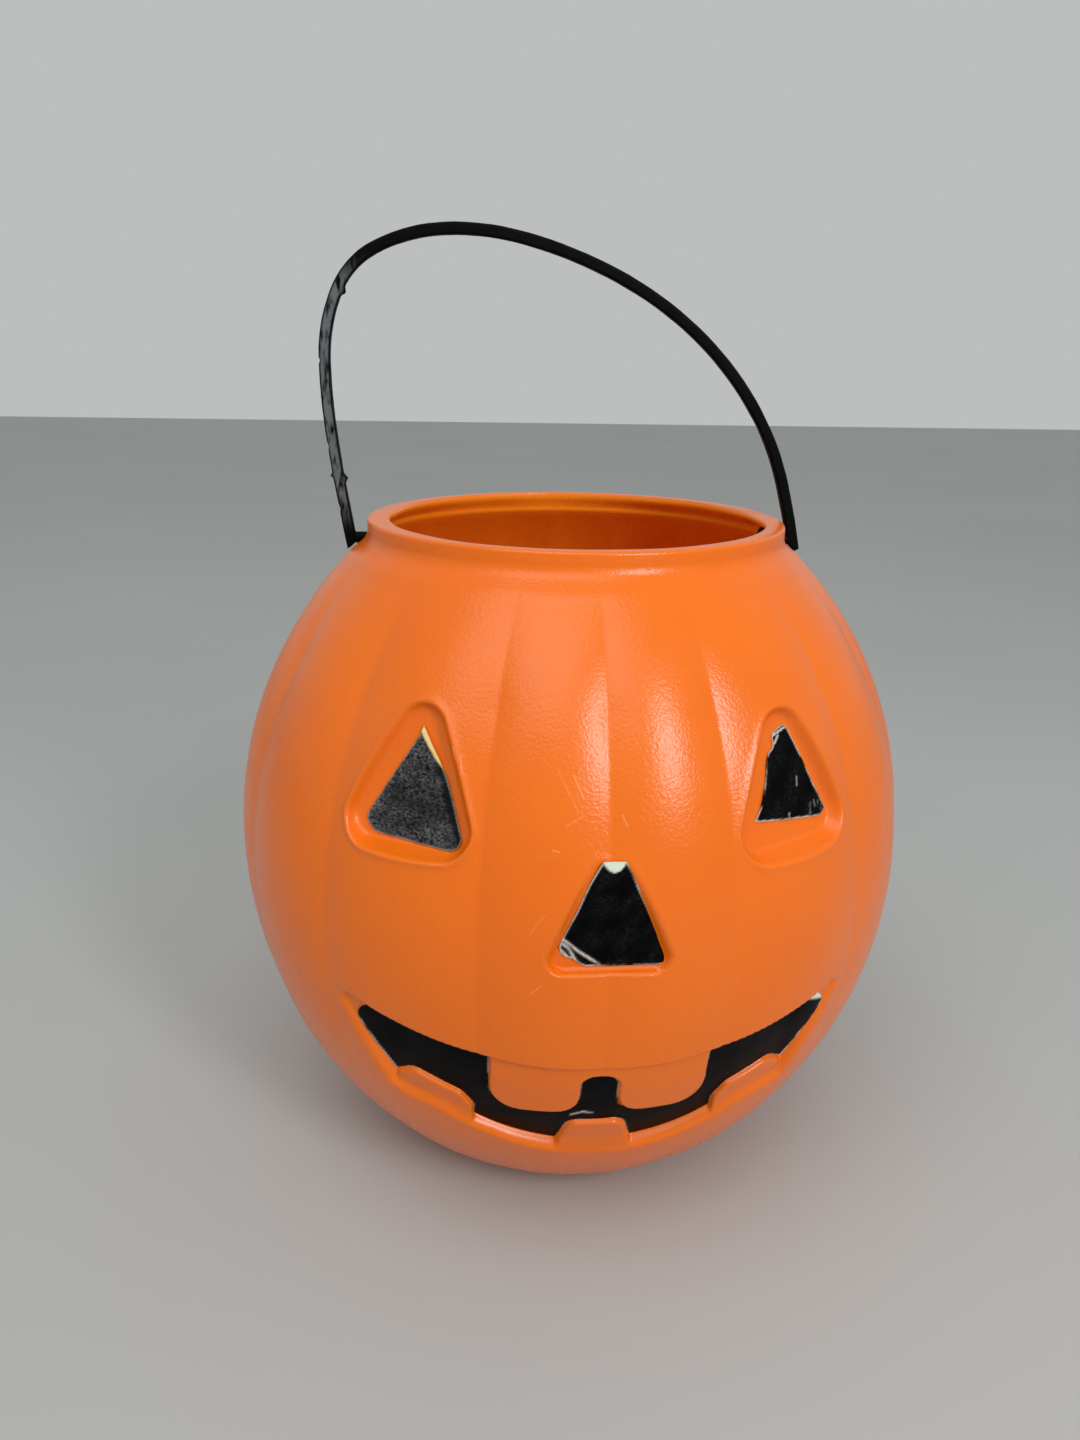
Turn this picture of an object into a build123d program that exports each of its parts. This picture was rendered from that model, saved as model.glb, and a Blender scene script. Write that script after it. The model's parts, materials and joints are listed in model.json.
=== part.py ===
"""Pumpkin candy pail: a blow-moulded, lobed shell with a recessed jack-o'-lantern face, four black
die-cut face decals and a loose strap handle. Millimetres, +Z up, the base on z = 0, the face towards -Y."""
import os
from math import asin, atan, cos, degrees, radians, sin, sqrt, tan

from build123d import *

# Body: two half ellipses that meet at the widest height
BODY_RADIUS = 101.6
WIDEST_Z = 101.0
UPPER_SEMI_AXIS = 111.3
LOWER_SEMI_AXIS = 116.0
WALL = 2.0
PROFILE_SECTIONS = 10

# Lobes: crease angles from the face's centre line, mirrored left to right and front to back
CREASE_ANGLES = (0.0, 18.0, 43.5, 68.0, 90.0)
CREASE_DEPTH = 2.0
CREASE_LEAST_DEPTH = 0.25
CREASE_DEEPEST_Z = 162.0
CREASE_GROWTH = 1.3

# Collar and its inward lip
COLLAR_RADIUS = 61.0
COLLAR_HEIGHT = 5.4
COLLAR_FILLET = 4.5
RIM_ROUNDING = 0.9
LIP_WIDTH = 6.0
LIP_THICKNESS = 2.0

# Base: a flat foot ring round a raised centre
FOOT_WIDTH = 12.0
PUSH_UP_HEIGHT = 3.0
PUSH_UP_DRAFT = 30.0

# Eyes: flat-floored rounded triangles, seen along the floor's own normal
EYE_AZIMUTH = 29.0
EYE_Z = 143.0
EYE_ELEVATION = 16.5
EYE_DEPTH = 5.0
EYE_DRAFT = 40.0
EYE_INNER_CORNER = (-12.6, -12.4)
EYE_OUTER_CORNER = (14.6, -11.8)
EYE_APEX = (1.4, 17.6)
EYE_CORNER_RADIUS = 2.2
EYE_FLOOR_MARGIN = 2.0

# Nose: a flat-floored trapezium that runs out towards its top
NOSE_BOTTOM_Z = 103.6
NOSE_TOP_Z = 130.8
NOSE_BOTTOM_WIDTH = 28.0
NOSE_TOP_WIDTH = 7.0
NOSE_DEPTH = 3.4
NOSE_ELEVATION = 1.0
NOSE_DRAFT = 16.0
NOSE_CORNER_RADIUS = 2.0
NOSE_FLOOR_MARGIN = 0.5

# Mouth: a crescent whose lower lip is a sloping cone, with two upper and three lower teeth
MOUTH_DEPTH = 3.6
MOUTH_HALF_WIDTH = 63.8
MOUTH_CORNER_Z = 80.8
MOUTH_CORNER_RADIUS = 5.0
UPPER_LIP_Z = 73.6
LOWER_LIP_Z = 40.9
LOWER_LIP_RADIUS = 77.0
LOWER_LIP_DRAFT = 38.0
LOWER_LIP_MARGIN = 5.5
MOUTH_CHEEK = (55.0, 57.0)
MOUTH_CHEEK_RADIUS = 9.0
UPPER_TOOTH_DEPTH = 1.3
LOWER_TOOTH_DEPTH = 2.0
UPPER_TEETH_HALF_WIDTH = 27.6
UPPER_TEETH_BOTTOM_Z = 56.4
UPPER_TEETH_RADIUS = 8.0
TEETH_GAP_HALF_WIDTH = 5.2
TEETH_GAP_TOP_Z = 71.0
TEETH_GAP_RADIUS = 4.5
CENTRE_TOOTH_TOP_Z = 51.0
CENTRE_TOOTH_TOP_HALF_WIDTH = 7.0
CENTRE_TOOTH_FOOT_HALF_WIDTH = 10.2
CENTRE_TOOTH_RADIUS = 3.2
SIDE_TOOTH_OUTER = (51.9, 59.7)
SIDE_TOOTH_CREST = (47.0, 63.0)
SIDE_TOOTH_SHOULDER = (35.2, 58.4)
SIDE_TOOTH_INNER = (32.3, 54.0)
SIDE_TOOTH_RADIUS = 3.2

# Decals
DECAL_THICKNESS = 0.3
DECAL_GLUE = 0.05
DECAL_MARGIN = 0.6

# Handle: strap section, hinge line, and its lopsided arch as shares of the half span and the rise
STRAP_WIDTH = 3.4
STRAP_DEPTH = 3.2
HINGE_DROP = 1.0
LEG_CLEARANCE = 0.6
ARCH_RISE = 84.0
ARCH_POINT_SHARES = (
    (-1.000, 0.000),
    (-1.047, 0.226),
    (-1.079, 0.470),
    (-1.076, 0.690),
    (-0.968, 0.887),
    (-0.716, 0.982),
    (-0.427, 0.998),
    (-0.091, 0.943),
    (0.259, 0.827),
    (0.557, 0.661),
    (0.791, 0.446),
    (0.943, 0.202),
    (1.000, 0.000),
)
ARCH_BEND_SHARE = 0.45
LEG_END_LENGTH = 5.0
PIN_RADIUS = 1.6
PIN_CLEARANCE = 0.4
HEAD_RADIUS = 3.6
HEAD_THICKNESS = 2.2
HEAD_ROUNDING = 0.8

# Sizes that follow from the ones above
SHOULDER_Z = WIDEST_Z + UPPER_SEMI_AXIS * sqrt(1 - (COLLAR_RADIUS / BODY_RADIUS) ** 2)
RIM_Z = SHOULDER_Z + COLLAR_HEIGHT
HINGE_Z = SHOULDER_Z - HINGE_DROP
MOULD_DEPTH = 2 * BODY_RADIUS
RECESS_REACH = BODY_RADIUS / 4
ON_FOOT = (Align.CENTER, Align.CENTER, Align.MIN)


def semi_axis(z, inset=0.0):
    """Vertical semi-axis of the half ellipse that holds height z, moved in by inset."""
    return (UPPER_SEMI_AXIS if z > WIDEST_Z else LOWER_SEMI_AXIS) - inset


def body_radius(z, inset=0.0):
    """Radius at the lobe crests at height z, moved in by inset."""
    return (BODY_RADIUS - inset) * sqrt(1 - ((z - WIDEST_Z) / semi_axis(z, inset)) ** 2)


def wall_elevation(z):
    """Angle in degrees by which the wall's outward normal points up at height z."""
    rise = (z - WIDEST_Z) / semi_axis(z)
    return degrees(atan(BODY_RADIUS * rise / (semi_axis(z) * sqrt(1 - rise**2))))


def crease_depth(z):
    """Depth of the creases at height z: deepest on the upper body, running out at both ends."""
    growth = (max(z, 0.0) / CREASE_DEEPEST_Z) ** CREASE_GROWTH
    run_out = (SHOULDER_Z - z) / (SHOULDER_Z - CREASE_DEEPEST_Z)
    return max(CREASE_DEPTH * min(growth, run_out), CREASE_LEAST_DEPTH)


def crease_ring():
    """All crease angles in order round the body, in degrees from the face."""
    right = list(CREASE_ANGLES) + [180 - angle for angle in reversed(CREASE_ANGLES[:-1])]
    left = [360 - angle for angle in reversed(right[1:-1])]
    return right + left


def lobed_section(z, radius):
    """Closed section of the body at height z: one arc per lobe from crease to crease."""
    depth = crease_depth(z)
    ring = crease_ring()
    arcs = []
    for start, end in zip(ring, ring[1:] + [360.0]):
        points = []
        for angle, reach in ((start, radius - depth), ((start + end) / 2, radius), (end, radius - depth)):
            points.append((reach * sin(radians(angle)), -reach * cos(radians(angle)), z))
        arcs.append(ThreePointArc(*points))
    return make_face(arcs)


def lobed_solid(z_low, z_high, inset=0.0):
    """Loft of the lobed body between two heights, with its profile moved in by inset."""
    low = asin((z_low - WIDEST_Z) / semi_axis(z_low, inset))
    high = asin((z_high - WIDEST_Z) / semi_axis(z_high, inset))
    sections = []
    for step in range(PROFILE_SECTIONS):
        turn = low + (high - low) * step / (PROFILE_SECTIONS - 1)
        z = WIDEST_Z + semi_axis(z_high if turn > 0 else z_low, inset) * sin(turn)
        sections.append(lobed_section(z, (BODY_RADIUS - inset) * cos(turn)))
    return loft(sections)


def face_core(inset):
    """Smooth body of the lower half's curvature, moved in by inset: what a face recess leaves standing."""
    half_ellipse = EllipticalCenterArc(
        (0, WIDEST_Z), BODY_RADIUS - inset, LOWER_SEMI_AXIS - inset, start_angle=-90, arc_size=180
    )
    axis_line = Line(half_ellipse @ 1, half_ellipse @ 0)
    return revolve(Plane.XZ * make_face([half_ellipse, axis_line]), axis=Axis.Z)


def face_prism(outline):
    """Front-view outline (x, z) drawn out of the mould towards the face."""
    return extrude(Plane.XZ * outline, MOULD_DEPTH)


def collar_solid():
    """Collar with its concave run into the shoulder and its rounded rim edge, as a solid of revolution."""
    turn = radians(wall_elevation(SHOULDER_Z))
    tangent = COLLAR_FILLET * tan(turn / 2)
    fillet_top = (COLLAR_RADIUS, SHOULDER_Z + tangent)
    fillet_foot = (COLLAR_RADIUS + tangent * sin(turn), SHOULDER_Z - tangent * cos(turn))
    rim_start = (COLLAR_RADIUS, RIM_Z - RIM_ROUNDING)
    rim_end = (COLLAR_RADIUS - RIM_ROUNDING, RIM_Z)
    inner_foot_z = fillet_foot[1] - COLLAR_HEIGHT
    outline = [
        Line((0, inner_foot_z), (COLLAR_RADIUS - WALL, inner_foot_z)),
        Line((COLLAR_RADIUS - WALL, inner_foot_z), fillet_foot),
        TangentArc(fillet_top, fillet_foot, tangent=(0, -1)),
        Line(fillet_top, rim_start),
        TangentArc(rim_start, rim_end, tangent=(0, 1)),
        Line(rim_end, (0, RIM_Z)),
        Line((0, RIM_Z), (0, inner_foot_z)),
    ]
    return revolve(Plane.XZ * make_face(outline), axis=Axis.Z)


def push_up(skin):
    """Raised centre of the base, grown by skin."""
    foot_radius = body_radius(0) - FOOT_WIDTH + skin
    top_radius = foot_radius - PUSH_UP_HEIGHT * tan(radians(PUSH_UP_DRAFT))
    return Cone(foot_radius, top_radius, PUSH_UP_HEIGHT + skin, align=ON_FOOT)


def rounded_polygon(points, radius):
    """Polygon with every corner rounded."""
    face = make_face(Polyline(*points, close=True))
    return fillet(face.vertices(), radius)


def eye_plane(depth):
    """Plane of the right eye's floor, depth below the crests at the eye's centre."""
    azimuth = radians(EYE_AZIMUTH)
    elevation = radians(EYE_ELEVATION)
    radius = body_radius(EYE_Z)
    normal = Vector(sin(azimuth) * cos(elevation), -cos(azimuth) * cos(elevation), sin(elevation))
    surface = Vector(radius * sin(azimuth), -radius * cos(azimuth), EYE_Z)
    return Plane(surface - normal * depth, x_dir=(cos(azimuth), sin(azimuth), 0), z_dir=normal)


def eye_outline():
    return rounded_polygon((EYE_INNER_CORNER, EYE_OUTER_CORNER, EYE_APEX), EYE_CORNER_RADIUS)


def nose_plane(depth):
    """Plane of the nose's floor, depth below the crests at mid height."""
    elevation = radians(NOSE_ELEVATION)
    middle_z = (NOSE_BOTTOM_Z + NOSE_TOP_Z) / 2
    normal = Vector(0, -cos(elevation), sin(elevation))
    surface = Vector(0, -body_radius(middle_z), middle_z)
    return Plane(surface - normal * depth, x_dir=(1, 0, 0), z_dir=normal)


def nose_outline():
    half_height = (NOSE_TOP_Z - NOSE_BOTTOM_Z) / 2
    corners = (
        (-NOSE_BOTTOM_WIDTH / 2, -half_height),
        (NOSE_BOTTOM_WIDTH / 2, -half_height),
        (NOSE_TOP_WIDTH / 2, half_height),
        (-NOSE_TOP_WIDTH / 2, half_height),
    )
    return rounded_polygon(corners, NOSE_CORNER_RADIUS)


def flat_recess(plane, outline, margin, draft, skin):
    """Recess with a flat floor and walls that open outwards, grown by skin on every side."""
    slope = radians(draft)
    floor = offset(outline, margin + skin * (1 / cos(slope) - tan(slope)))
    return extrude(plane.offset(-skin) * floor, RECESS_REACH, taper=-draft)


def eye_recess(skin):
    right = flat_recess(eye_plane(EYE_DEPTH), eye_outline(), EYE_FLOOR_MARGIN, EYE_DRAFT, skin)
    return right + mirror(right, about=Plane.YZ)


def nose_recess(skin):
    return flat_recess(nose_plane(NOSE_DEPTH), nose_outline(), NOSE_FLOOR_MARGIN, NOSE_DRAFT, skin)


def mouth_outline():
    """Front view of the mouth, taken below its sloping lower lip."""
    cheek_x, cheek_z = MOUTH_CHEEK
    corner = (MOUTH_HALF_WIDTH, MOUTH_CORNER_Z)
    far_corner = (-MOUTH_HALF_WIDTH, MOUTH_CORNER_Z)
    face = make_face(
        [
            ThreePointArc(far_corner, (0, UPPER_LIP_Z), corner),
            Line(corner, (cheek_x, cheek_z)),
            ThreePointArc((cheek_x, cheek_z), (0, LOWER_LIP_Z - LOWER_LIP_MARGIN), (-cheek_x, cheek_z)),
            Line((-cheek_x, cheek_z), far_corner),
        ]
    )
    face = fillet(face.vertices().group_by(Axis.Y)[-1], MOUTH_CORNER_RADIUS)
    return fillet(face.vertices().group_by(Axis.Y)[0], MOUTH_CHEEK_RADIUS)


def lower_lip_cone(skin):
    """Cone about the draw direction: the mouth lies inside it, so its side is the sloping lower lip."""
    slope = radians(LOWER_LIP_DRAFT)
    floor_y = body_radius(LOWER_LIP_Z, MOUTH_DEPTH)
    back_radius = LOWER_LIP_RADIUS + skin / cos(slope) - floor_y / 2 * tan(slope)
    front_radius = back_radius + BODY_RADIUS * tan(slope)
    place = Plane((0, -floor_y / 2, LOWER_LIP_Z + LOWER_LIP_RADIUS), z_dir=(0, -1, 0))
    return place * Cone(back_radius, front_radius, BODY_RADIUS, align=ON_FOOT)


def upper_teeth():
    """The two upper teeth, joined under the lip."""
    top_z = MOUTH_CORNER_Z + MOUTH_CORNER_RADIUS
    block = make_face(
        Polyline(
            (-UPPER_TEETH_HALF_WIDTH, top_z),
            (-UPPER_TEETH_HALF_WIDTH, UPPER_TEETH_BOTTOM_Z),
            (-TEETH_GAP_HALF_WIDTH, UPPER_TEETH_BOTTOM_Z),
            (-TEETH_GAP_HALF_WIDTH, TEETH_GAP_TOP_Z),
            (TEETH_GAP_HALF_WIDTH, TEETH_GAP_TOP_Z),
            (TEETH_GAP_HALF_WIDTH, UPPER_TEETH_BOTTOM_Z),
            (UPPER_TEETH_HALF_WIDTH, UPPER_TEETH_BOTTOM_Z),
            (UPPER_TEETH_HALF_WIDTH, top_z),
            close=True,
        )
    )
    arch = block.vertices().group_by(Axis.Y)[1]
    block = fillet(arch, TEETH_GAP_RADIUS)
    tips = block.vertices().group_by(Axis.Y)[0]
    return fillet(tips, UPPER_TEETH_RADIUS)


def lower_teeth():
    """The centre tooth and the two side teeth that rise from the lower lip."""
    foot_z = LOWER_LIP_Z - 2 * LOWER_LIP_MARGIN
    centre = make_face(
        Polyline(
            (-CENTRE_TOOTH_FOOT_HALF_WIDTH, foot_z),
            (CENTRE_TOOTH_FOOT_HALF_WIDTH, foot_z),
            (CENTRE_TOOTH_TOP_HALF_WIDTH, CENTRE_TOOTH_TOP_Z),
            (-CENTRE_TOOTH_TOP_HALF_WIDTH, CENTRE_TOOTH_TOP_Z),
            close=True,
        )
    )
    centre = fillet(centre.vertices().group_by(Axis.Y)[-1], CENTRE_TOOTH_RADIUS)
    side = make_face(
        Polyline(
            (SIDE_TOOTH_INNER[0], foot_z),
            (SIDE_TOOTH_OUTER[0], foot_z),
            SIDE_TOOTH_OUTER,
            SIDE_TOOTH_CREST,
            SIDE_TOOTH_SHOULDER,
            SIDE_TOOTH_INNER,
            close=True,
        )
    )
    crown = side.vertices().sort_by(Axis.Y)[-3:]
    side = fillet(crown, SIDE_TOOTH_RADIUS)
    return [centre, side, mirror(side, about=Plane.YZ)]


def teeth_prisms(outlines, grow):
    """Teeth drawn along the mould direction, their outlines grown by grow."""
    prisms = [face_prism(offset(tooth, grow) if grow else tooth) for tooth in outlines]
    return prisms[0] + prisms[1:]


def mouth_recess(skin):
    """Mouth cut with its teeth left standing, grown by skin on every side."""
    outline = mouth_outline()
    opening = face_prism(offset(outline, skin) if skin else outline) & lower_lip_cone(skin)
    upper = teeth_prisms([upper_teeth()], -skin) & face_core(UPPER_TOOTH_DEPTH + skin)
    lower = teeth_prisms(lower_teeth(), -skin) & face_core(LOWER_TOOTH_DEPTH + skin)
    return opening - face_core(MOUTH_DEPTH + skin) - upper - lower


def pin_holes():
    """Bore for the handle's pins through both sides of the shoulder."""
    bore = Cylinder(PIN_RADIUS + PIN_CLEARANCE, 2 * (BODY_RADIUS + WALL))
    middle = Cylinder(PIN_RADIUS + PIN_CLEARANCE, 2 * (COLLAR_RADIUS - LIP_WIDTH))
    return Pos(0, 0, HINGE_Z) * Rot(0, 90, 0) * (bore - middle)


def pail_shell():
    recess_outside = [eye_recess(0), nose_recess(0), mouth_recess(0)]
    recess_inside = [eye_recess(WALL), nose_recess(WALL), mouth_recess(WALL)]
    outside = lobed_solid(0, SHOULDER_Z) + collar_solid()
    for recess in recess_outside:
        outside -= recess
    outside -= push_up(0)

    inner_radius = COLLAR_RADIUS - WALL
    inner_top = (BODY_RADIUS - WALL, UPPER_SEMI_AXIS - WALL)
    inner_shoulder_z = WIDEST_Z + inner_top[1] * sqrt(1 - (inner_radius / inner_top[0]) ** 2)
    inside = lobed_solid(WALL, inner_shoulder_z, WALL)
    for recess in recess_inside:
        inside -= recess
    inside -= push_up(WALL)
    neck_foot_z = inner_shoulder_z - COLLAR_HEIGHT
    neck_height = RIM_Z - LIP_THICKNESS - neck_foot_z
    neck = Cylinder(inner_radius, neck_height, align=ON_FOOT)
    rim_opening = Cylinder(COLLAR_RADIUS - LIP_WIDTH, neck_height + 2 * LIP_THICKNESS, align=ON_FOOT)
    inside += Pos(0, 0, neck_foot_z) * (neck + rim_opening)
    return outside - inside - pin_holes()


def flat_decal(plane, outline):
    return extrude(plane.offset(DECAL_GLUE) * outline, DECAL_THICKNESS)


def mouth_decal():
    """Die-cut film on the mouth's floor, clear of the lips and the teeth."""
    opening = face_prism(offset(mouth_outline(), -DECAL_MARGIN)) & lower_lip_cone(-DECAL_MARGIN)
    film = face_core(MOUTH_DEPTH - DECAL_GLUE - DECAL_THICKNESS) - face_core(MOUTH_DEPTH - DECAL_GLUE)
    return (opening & film) - teeth_prisms([upper_teeth()] + lower_teeth(), DECAL_MARGIN)


def hinge_half_span():
    """Distance of the strap's centre line from the middle at the hinge, clear of the swung shoulder."""
    shoulder = body_radius(HINGE_Z - STRAP_DEPTH / 2) - crease_depth(HINGE_Z)
    return shoulder + LEG_CLEARANCE + STRAP_WIDTH / 2


def arch_path():
    """Centre line of the strap: straight runs joined by arcs as large as the runs allow."""
    half_span = hinge_half_span()
    points = [Vector(x * half_span, 0, HINGE_Z + z * ARCH_RISE) for x, z in ARCH_POINT_SHARES]
    points[0] += (points[0] - points[1]).normalized() * LEG_END_LENGTH
    points[-1] += (points[-1] - points[-2]).normalized() * LEG_END_LENGTH
    radii = []
    for before, here, after in zip(points, points[1:], points[2:]):
        turn = radians((here - before).get_angle(after - here))
        shorter = min((here - before).length, (after - here).length)
        radii.append(ARCH_BEND_SHARE * shorter / tan(turn / 2))
    return FilletPolyline(*points, radius=radii)


def leg_relief():
    """Cones about the hinge line that cut the leg ends parallel to the shoulder."""
    slope = tan(radians(wall_elevation(HINGE_Z)))
    apex = body_radius(HINGE_Z) + LEG_CLEARANCE
    reach = 2 * LEG_END_LENGTH
    corners = ((apex, 0), (apex + reach * slope, reach), (apex - reach, reach), (apex - reach, 0))
    cone = revolve(make_face(Polyline(*corners, close=True)), axis=Axis.X)
    below = Box(4 * BODY_RADIUS, 4 * reach, 2 * reach, align=(Align.CENTER, Align.CENTER, Align.MAX))
    right = cone & below
    return Pos(0, 0, HINGE_Z) * (right + mirror(right, about=Plane.YZ))


def handle_foot():
    """Right pin and its mushroom head inside the collar."""
    half_span = hinge_half_span()
    head_face = sqrt((COLLAR_RADIUS - WALL) ** 2 - HEAD_RADIUS**2) - LEG_CLEARANCE
    head = Cylinder(HEAD_RADIUS, HEAD_THICKNESS, align=ON_FOOT)
    head = fillet(head.edges().group_by(Axis.Z)[0], HEAD_ROUNDING)
    pin = Cylinder(PIN_RADIUS, half_span - head_face + HEAD_THICKNESS, align=ON_FOOT)
    return Pos(head_face - HEAD_THICKNESS, 0, HINGE_Z) * Rot(0, 90, 0) * (head + pin)


def handle():
    path = arch_path()
    section = Plane(path @ 0, x_dir=(0, 1, 0), z_dir=path % 0) * Rectangle(STRAP_DEPTH, STRAP_WIDTH)
    strap = sweep(section, path=path) - leg_relief()
    foot = handle_foot()
    return strap + foot + mirror(foot, about=Plane.YZ)


right_eye = flat_decal(eye_plane(EYE_DEPTH), eye_outline())
nodes = {
    "pail_shell": pail_shell(),
    "handle": handle(),
    "left_eye_decal": mirror(right_eye, about=Plane.YZ),
    "right_eye_decal": right_eye,
    "nose_decal": flat_decal(nose_plane(NOSE_DEPTH), nose_outline()),
    "mouth_decal": mouth_decal(),
}

os.makedirs("parts", exist_ok=True)
for name, solid in nodes.items():
    export_step(solid, f"parts/{name}.step")
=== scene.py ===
"""Pumpkin candy pail: moulded shell, films and strap handle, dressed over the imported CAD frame.

Lengths are in millimetres, in the frame of the part: X to the viewer's right, -Y out of the face, Z up.
Settings of materials, lights and camera are in metres, as Blender has them.
"""
import json
import math

import bpy
import numpy as np
from mathutils import Matrix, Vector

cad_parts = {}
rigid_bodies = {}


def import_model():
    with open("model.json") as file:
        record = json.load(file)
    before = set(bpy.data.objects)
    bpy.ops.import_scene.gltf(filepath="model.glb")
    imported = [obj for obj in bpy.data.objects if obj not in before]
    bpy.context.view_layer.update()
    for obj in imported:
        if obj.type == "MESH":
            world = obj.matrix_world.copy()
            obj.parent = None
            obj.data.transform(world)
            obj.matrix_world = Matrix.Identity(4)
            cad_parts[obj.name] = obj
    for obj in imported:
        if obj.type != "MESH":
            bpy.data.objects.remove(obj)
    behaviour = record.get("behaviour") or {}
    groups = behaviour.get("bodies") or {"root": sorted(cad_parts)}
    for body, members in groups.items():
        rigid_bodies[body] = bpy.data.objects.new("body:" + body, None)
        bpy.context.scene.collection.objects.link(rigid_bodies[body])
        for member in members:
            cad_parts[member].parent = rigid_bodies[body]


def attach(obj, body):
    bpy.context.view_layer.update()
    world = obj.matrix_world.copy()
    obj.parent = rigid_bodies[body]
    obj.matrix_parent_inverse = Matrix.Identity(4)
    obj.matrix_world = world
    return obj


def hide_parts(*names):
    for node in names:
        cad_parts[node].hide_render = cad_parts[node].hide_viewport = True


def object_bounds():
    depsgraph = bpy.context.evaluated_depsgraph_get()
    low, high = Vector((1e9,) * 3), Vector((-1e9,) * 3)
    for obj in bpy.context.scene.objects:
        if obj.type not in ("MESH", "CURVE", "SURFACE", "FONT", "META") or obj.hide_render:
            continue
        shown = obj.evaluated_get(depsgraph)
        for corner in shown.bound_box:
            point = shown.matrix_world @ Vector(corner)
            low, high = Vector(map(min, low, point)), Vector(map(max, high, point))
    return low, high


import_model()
cad_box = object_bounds()

MM = 0.001
SEAM = 0.002
NEARLY_STRAIGHT = 89.0
RIPPLE_WAVES = 6
RIPPLE_HEIGHT = 3.0

# Pail body, as in the part's source.
BODY_RADIUS = 101.6
WIDEST_Z = 101.0
UPPER_SEMI_AXIS = 111.3
LOWER_SEMI_AXIS = 116.0
WALL = 2.0
CREASES = np.array([0.0, 18.0, 43.5, 68.0, 90.0, 112.0, 136.5, 162.0, 180.0])
CREASE_DEPTH = 2.0
CREASE_LEAST_DEPTH = 0.25
CREASE_DEEPEST_Z = 162.0
CREASE_GROWTH = 1.3
CREASE_FADE = 5.0
SHOULDER_Z = 190.007
SHOULDER_STEP = 0.35
SHOULDER_STEP_Z = 185.8
SHOULDER_STEP_HEIGHT = 1.3

# Collar, rim and foot.
COLLAR_RADIUS = 61.0
COLLAR_FILLET = 4.5
COLLAR_FILLET_CENTRE = (65.5, 192.13)
COLLAR_FILLET_START = 230.6
RIM_Z = 195.407
RIM_ROUNDING = 0.9
LIP_THICKNESS = 2.0
LIP_WIDTH = 5.4
LIP_WIDTH_SWING = 1.3
LIP_SIDE_SHARE = 0.25
LIP_WAVE = 0.35
LIP_FILLET = 2.6
LIP_FILLET_GAP = (6.0, 14.0)
# Waves along the lip's trimmed edge: count round the rim, height, phase.
LIP_WAVES = ((3, 1.0, 0.6), (7, 0.6, 2.1), (13, 0.35, 0.4))
FOOT_RADIUS = 47.2

# Parts of the shell's section: radius and height, or how far out and up from an edge.
UNDERSIDE = (
    (0, 3.0), (18, 3.0), (35.2, 3.0), (36.1, 2.8), (36.6, 2.3), (37.4, 0.6), (37.8, 0.15),
    (38.4, 0), (42.5, 0), (FOOT_RADIUS, 0), (48.6, 0.15), (49.7, 0.6),
)
LIP_RADII = (58.4, 57.0)
LIP_TOP_EDGE = ((0.6, 0.0), (0.15, -0.2), (0.0, -0.7))
LIP_FOOT_EDGE = ((0.0, 0.5), (0.2, 0.1), (0.7, 0.0))
NECK_CORNER = ((-0.15, -0.3), (0.0, -0.8), (0.0, -2.4))
NECK_FOOT_GAPS = (0.9, 0.5)
INSIDE_FLOOR = (
    (48.6, 2.15), (47.2, WALL), (41.6, WALL), (40.6, 2.3), (38.6, 4.6), (37.6, 5), (18, 5), (0, 5),
)

# Faces of the shell: columns between neighbouring creases from the face to the back, heights of the
# rows, and the moves over one face past which it is split.
COLUMNS = (18, 26, 12, 10, 9, 9, 9, 7)
CREASE_CROWDING = 0.5
COARSE_STEP = 3.2
FACE_STEP = 1.5
WALL_FOOT_Z = 1.2
INSIDE_FOOT_Z = 2.6
FACE_LOW_Z = 34.0
FACE_HIGH_Z = 170.0
FILLET_STEPS = 8
ROUNDING_STEPS = 5
SPLIT_STEPS = (0.48, 0.45)
INSIDE_COARSENESS = 0.75

# Bounds that tell the turned shell's wall, lip, neck and inner faces from one another.
MOVED_LOW_Z = 0.9
MOVED_TOP_GAP = 1.3
MOVED_DEPTH = 6.0
MOVED_LEAST_RADIUS = 47.5
LIP_SLACK = 0.05
NECK_SLACK = 0.01
NECK_DROP = 1.0
INSIDE_SLACK = 0.1
INSIDE_NECK_DROP = 2.0
INSIDE_RIM_DROP = 0.3
INSIDE_FLOOR_TOP_Z = 10.0
PUSH_UP_MIDDLE_Z = 3.5
PUSH_UP_RADIUS = 39.0

# Eyes and nose: outlines on their flat floors, right and up from the middle. 1 is the viewer's right
# eye and -1 the left one.
EYE_AZIMUTH = 29.0
EYE_Z = 143.0
EYE_ELEVATION = 16.5
EYE_DEPTH = 5.0
EYE_DRAFT = 40.0
EYE_LEDGE_DRAFTS = {1: 40.0, -1: 34.0}
EYE_OUTLINES = {
    1: ((-12.6, -12.4), (14.6, -11.8), (1.4, 17.6)),
    -1: ((-15.9, -11.5), (12.1, -10.8), (-1.1, 20.0)),
}
EYE_CORNER_RADIUS = 2.2
EYE_MARGIN = 2.6
NOSE_BOTTOM_Z = 103.6
NOSE_TOP_Z = 130.8
NOSE_BOTTOM_WIDTH = 28.0
NOSE_TOP_WIDTH = 7.0
NOSE_DEPTH = 2.9
NOSE_ELEVATION = 1.0
NOSE_DRAFT = 40.0
NOSE_LEDGE_DRAFT = 7.0
NOSE_CORNER_RADIUS = 2.0
NOSE_MARGIN = 0.25
LEDGE_SPAN = (-1.0, 4.0)
RECESS_REACH = 30.0
RECESS_BACK = 10.0
RECESS_BACK_DEPTHS = 3.0

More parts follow.
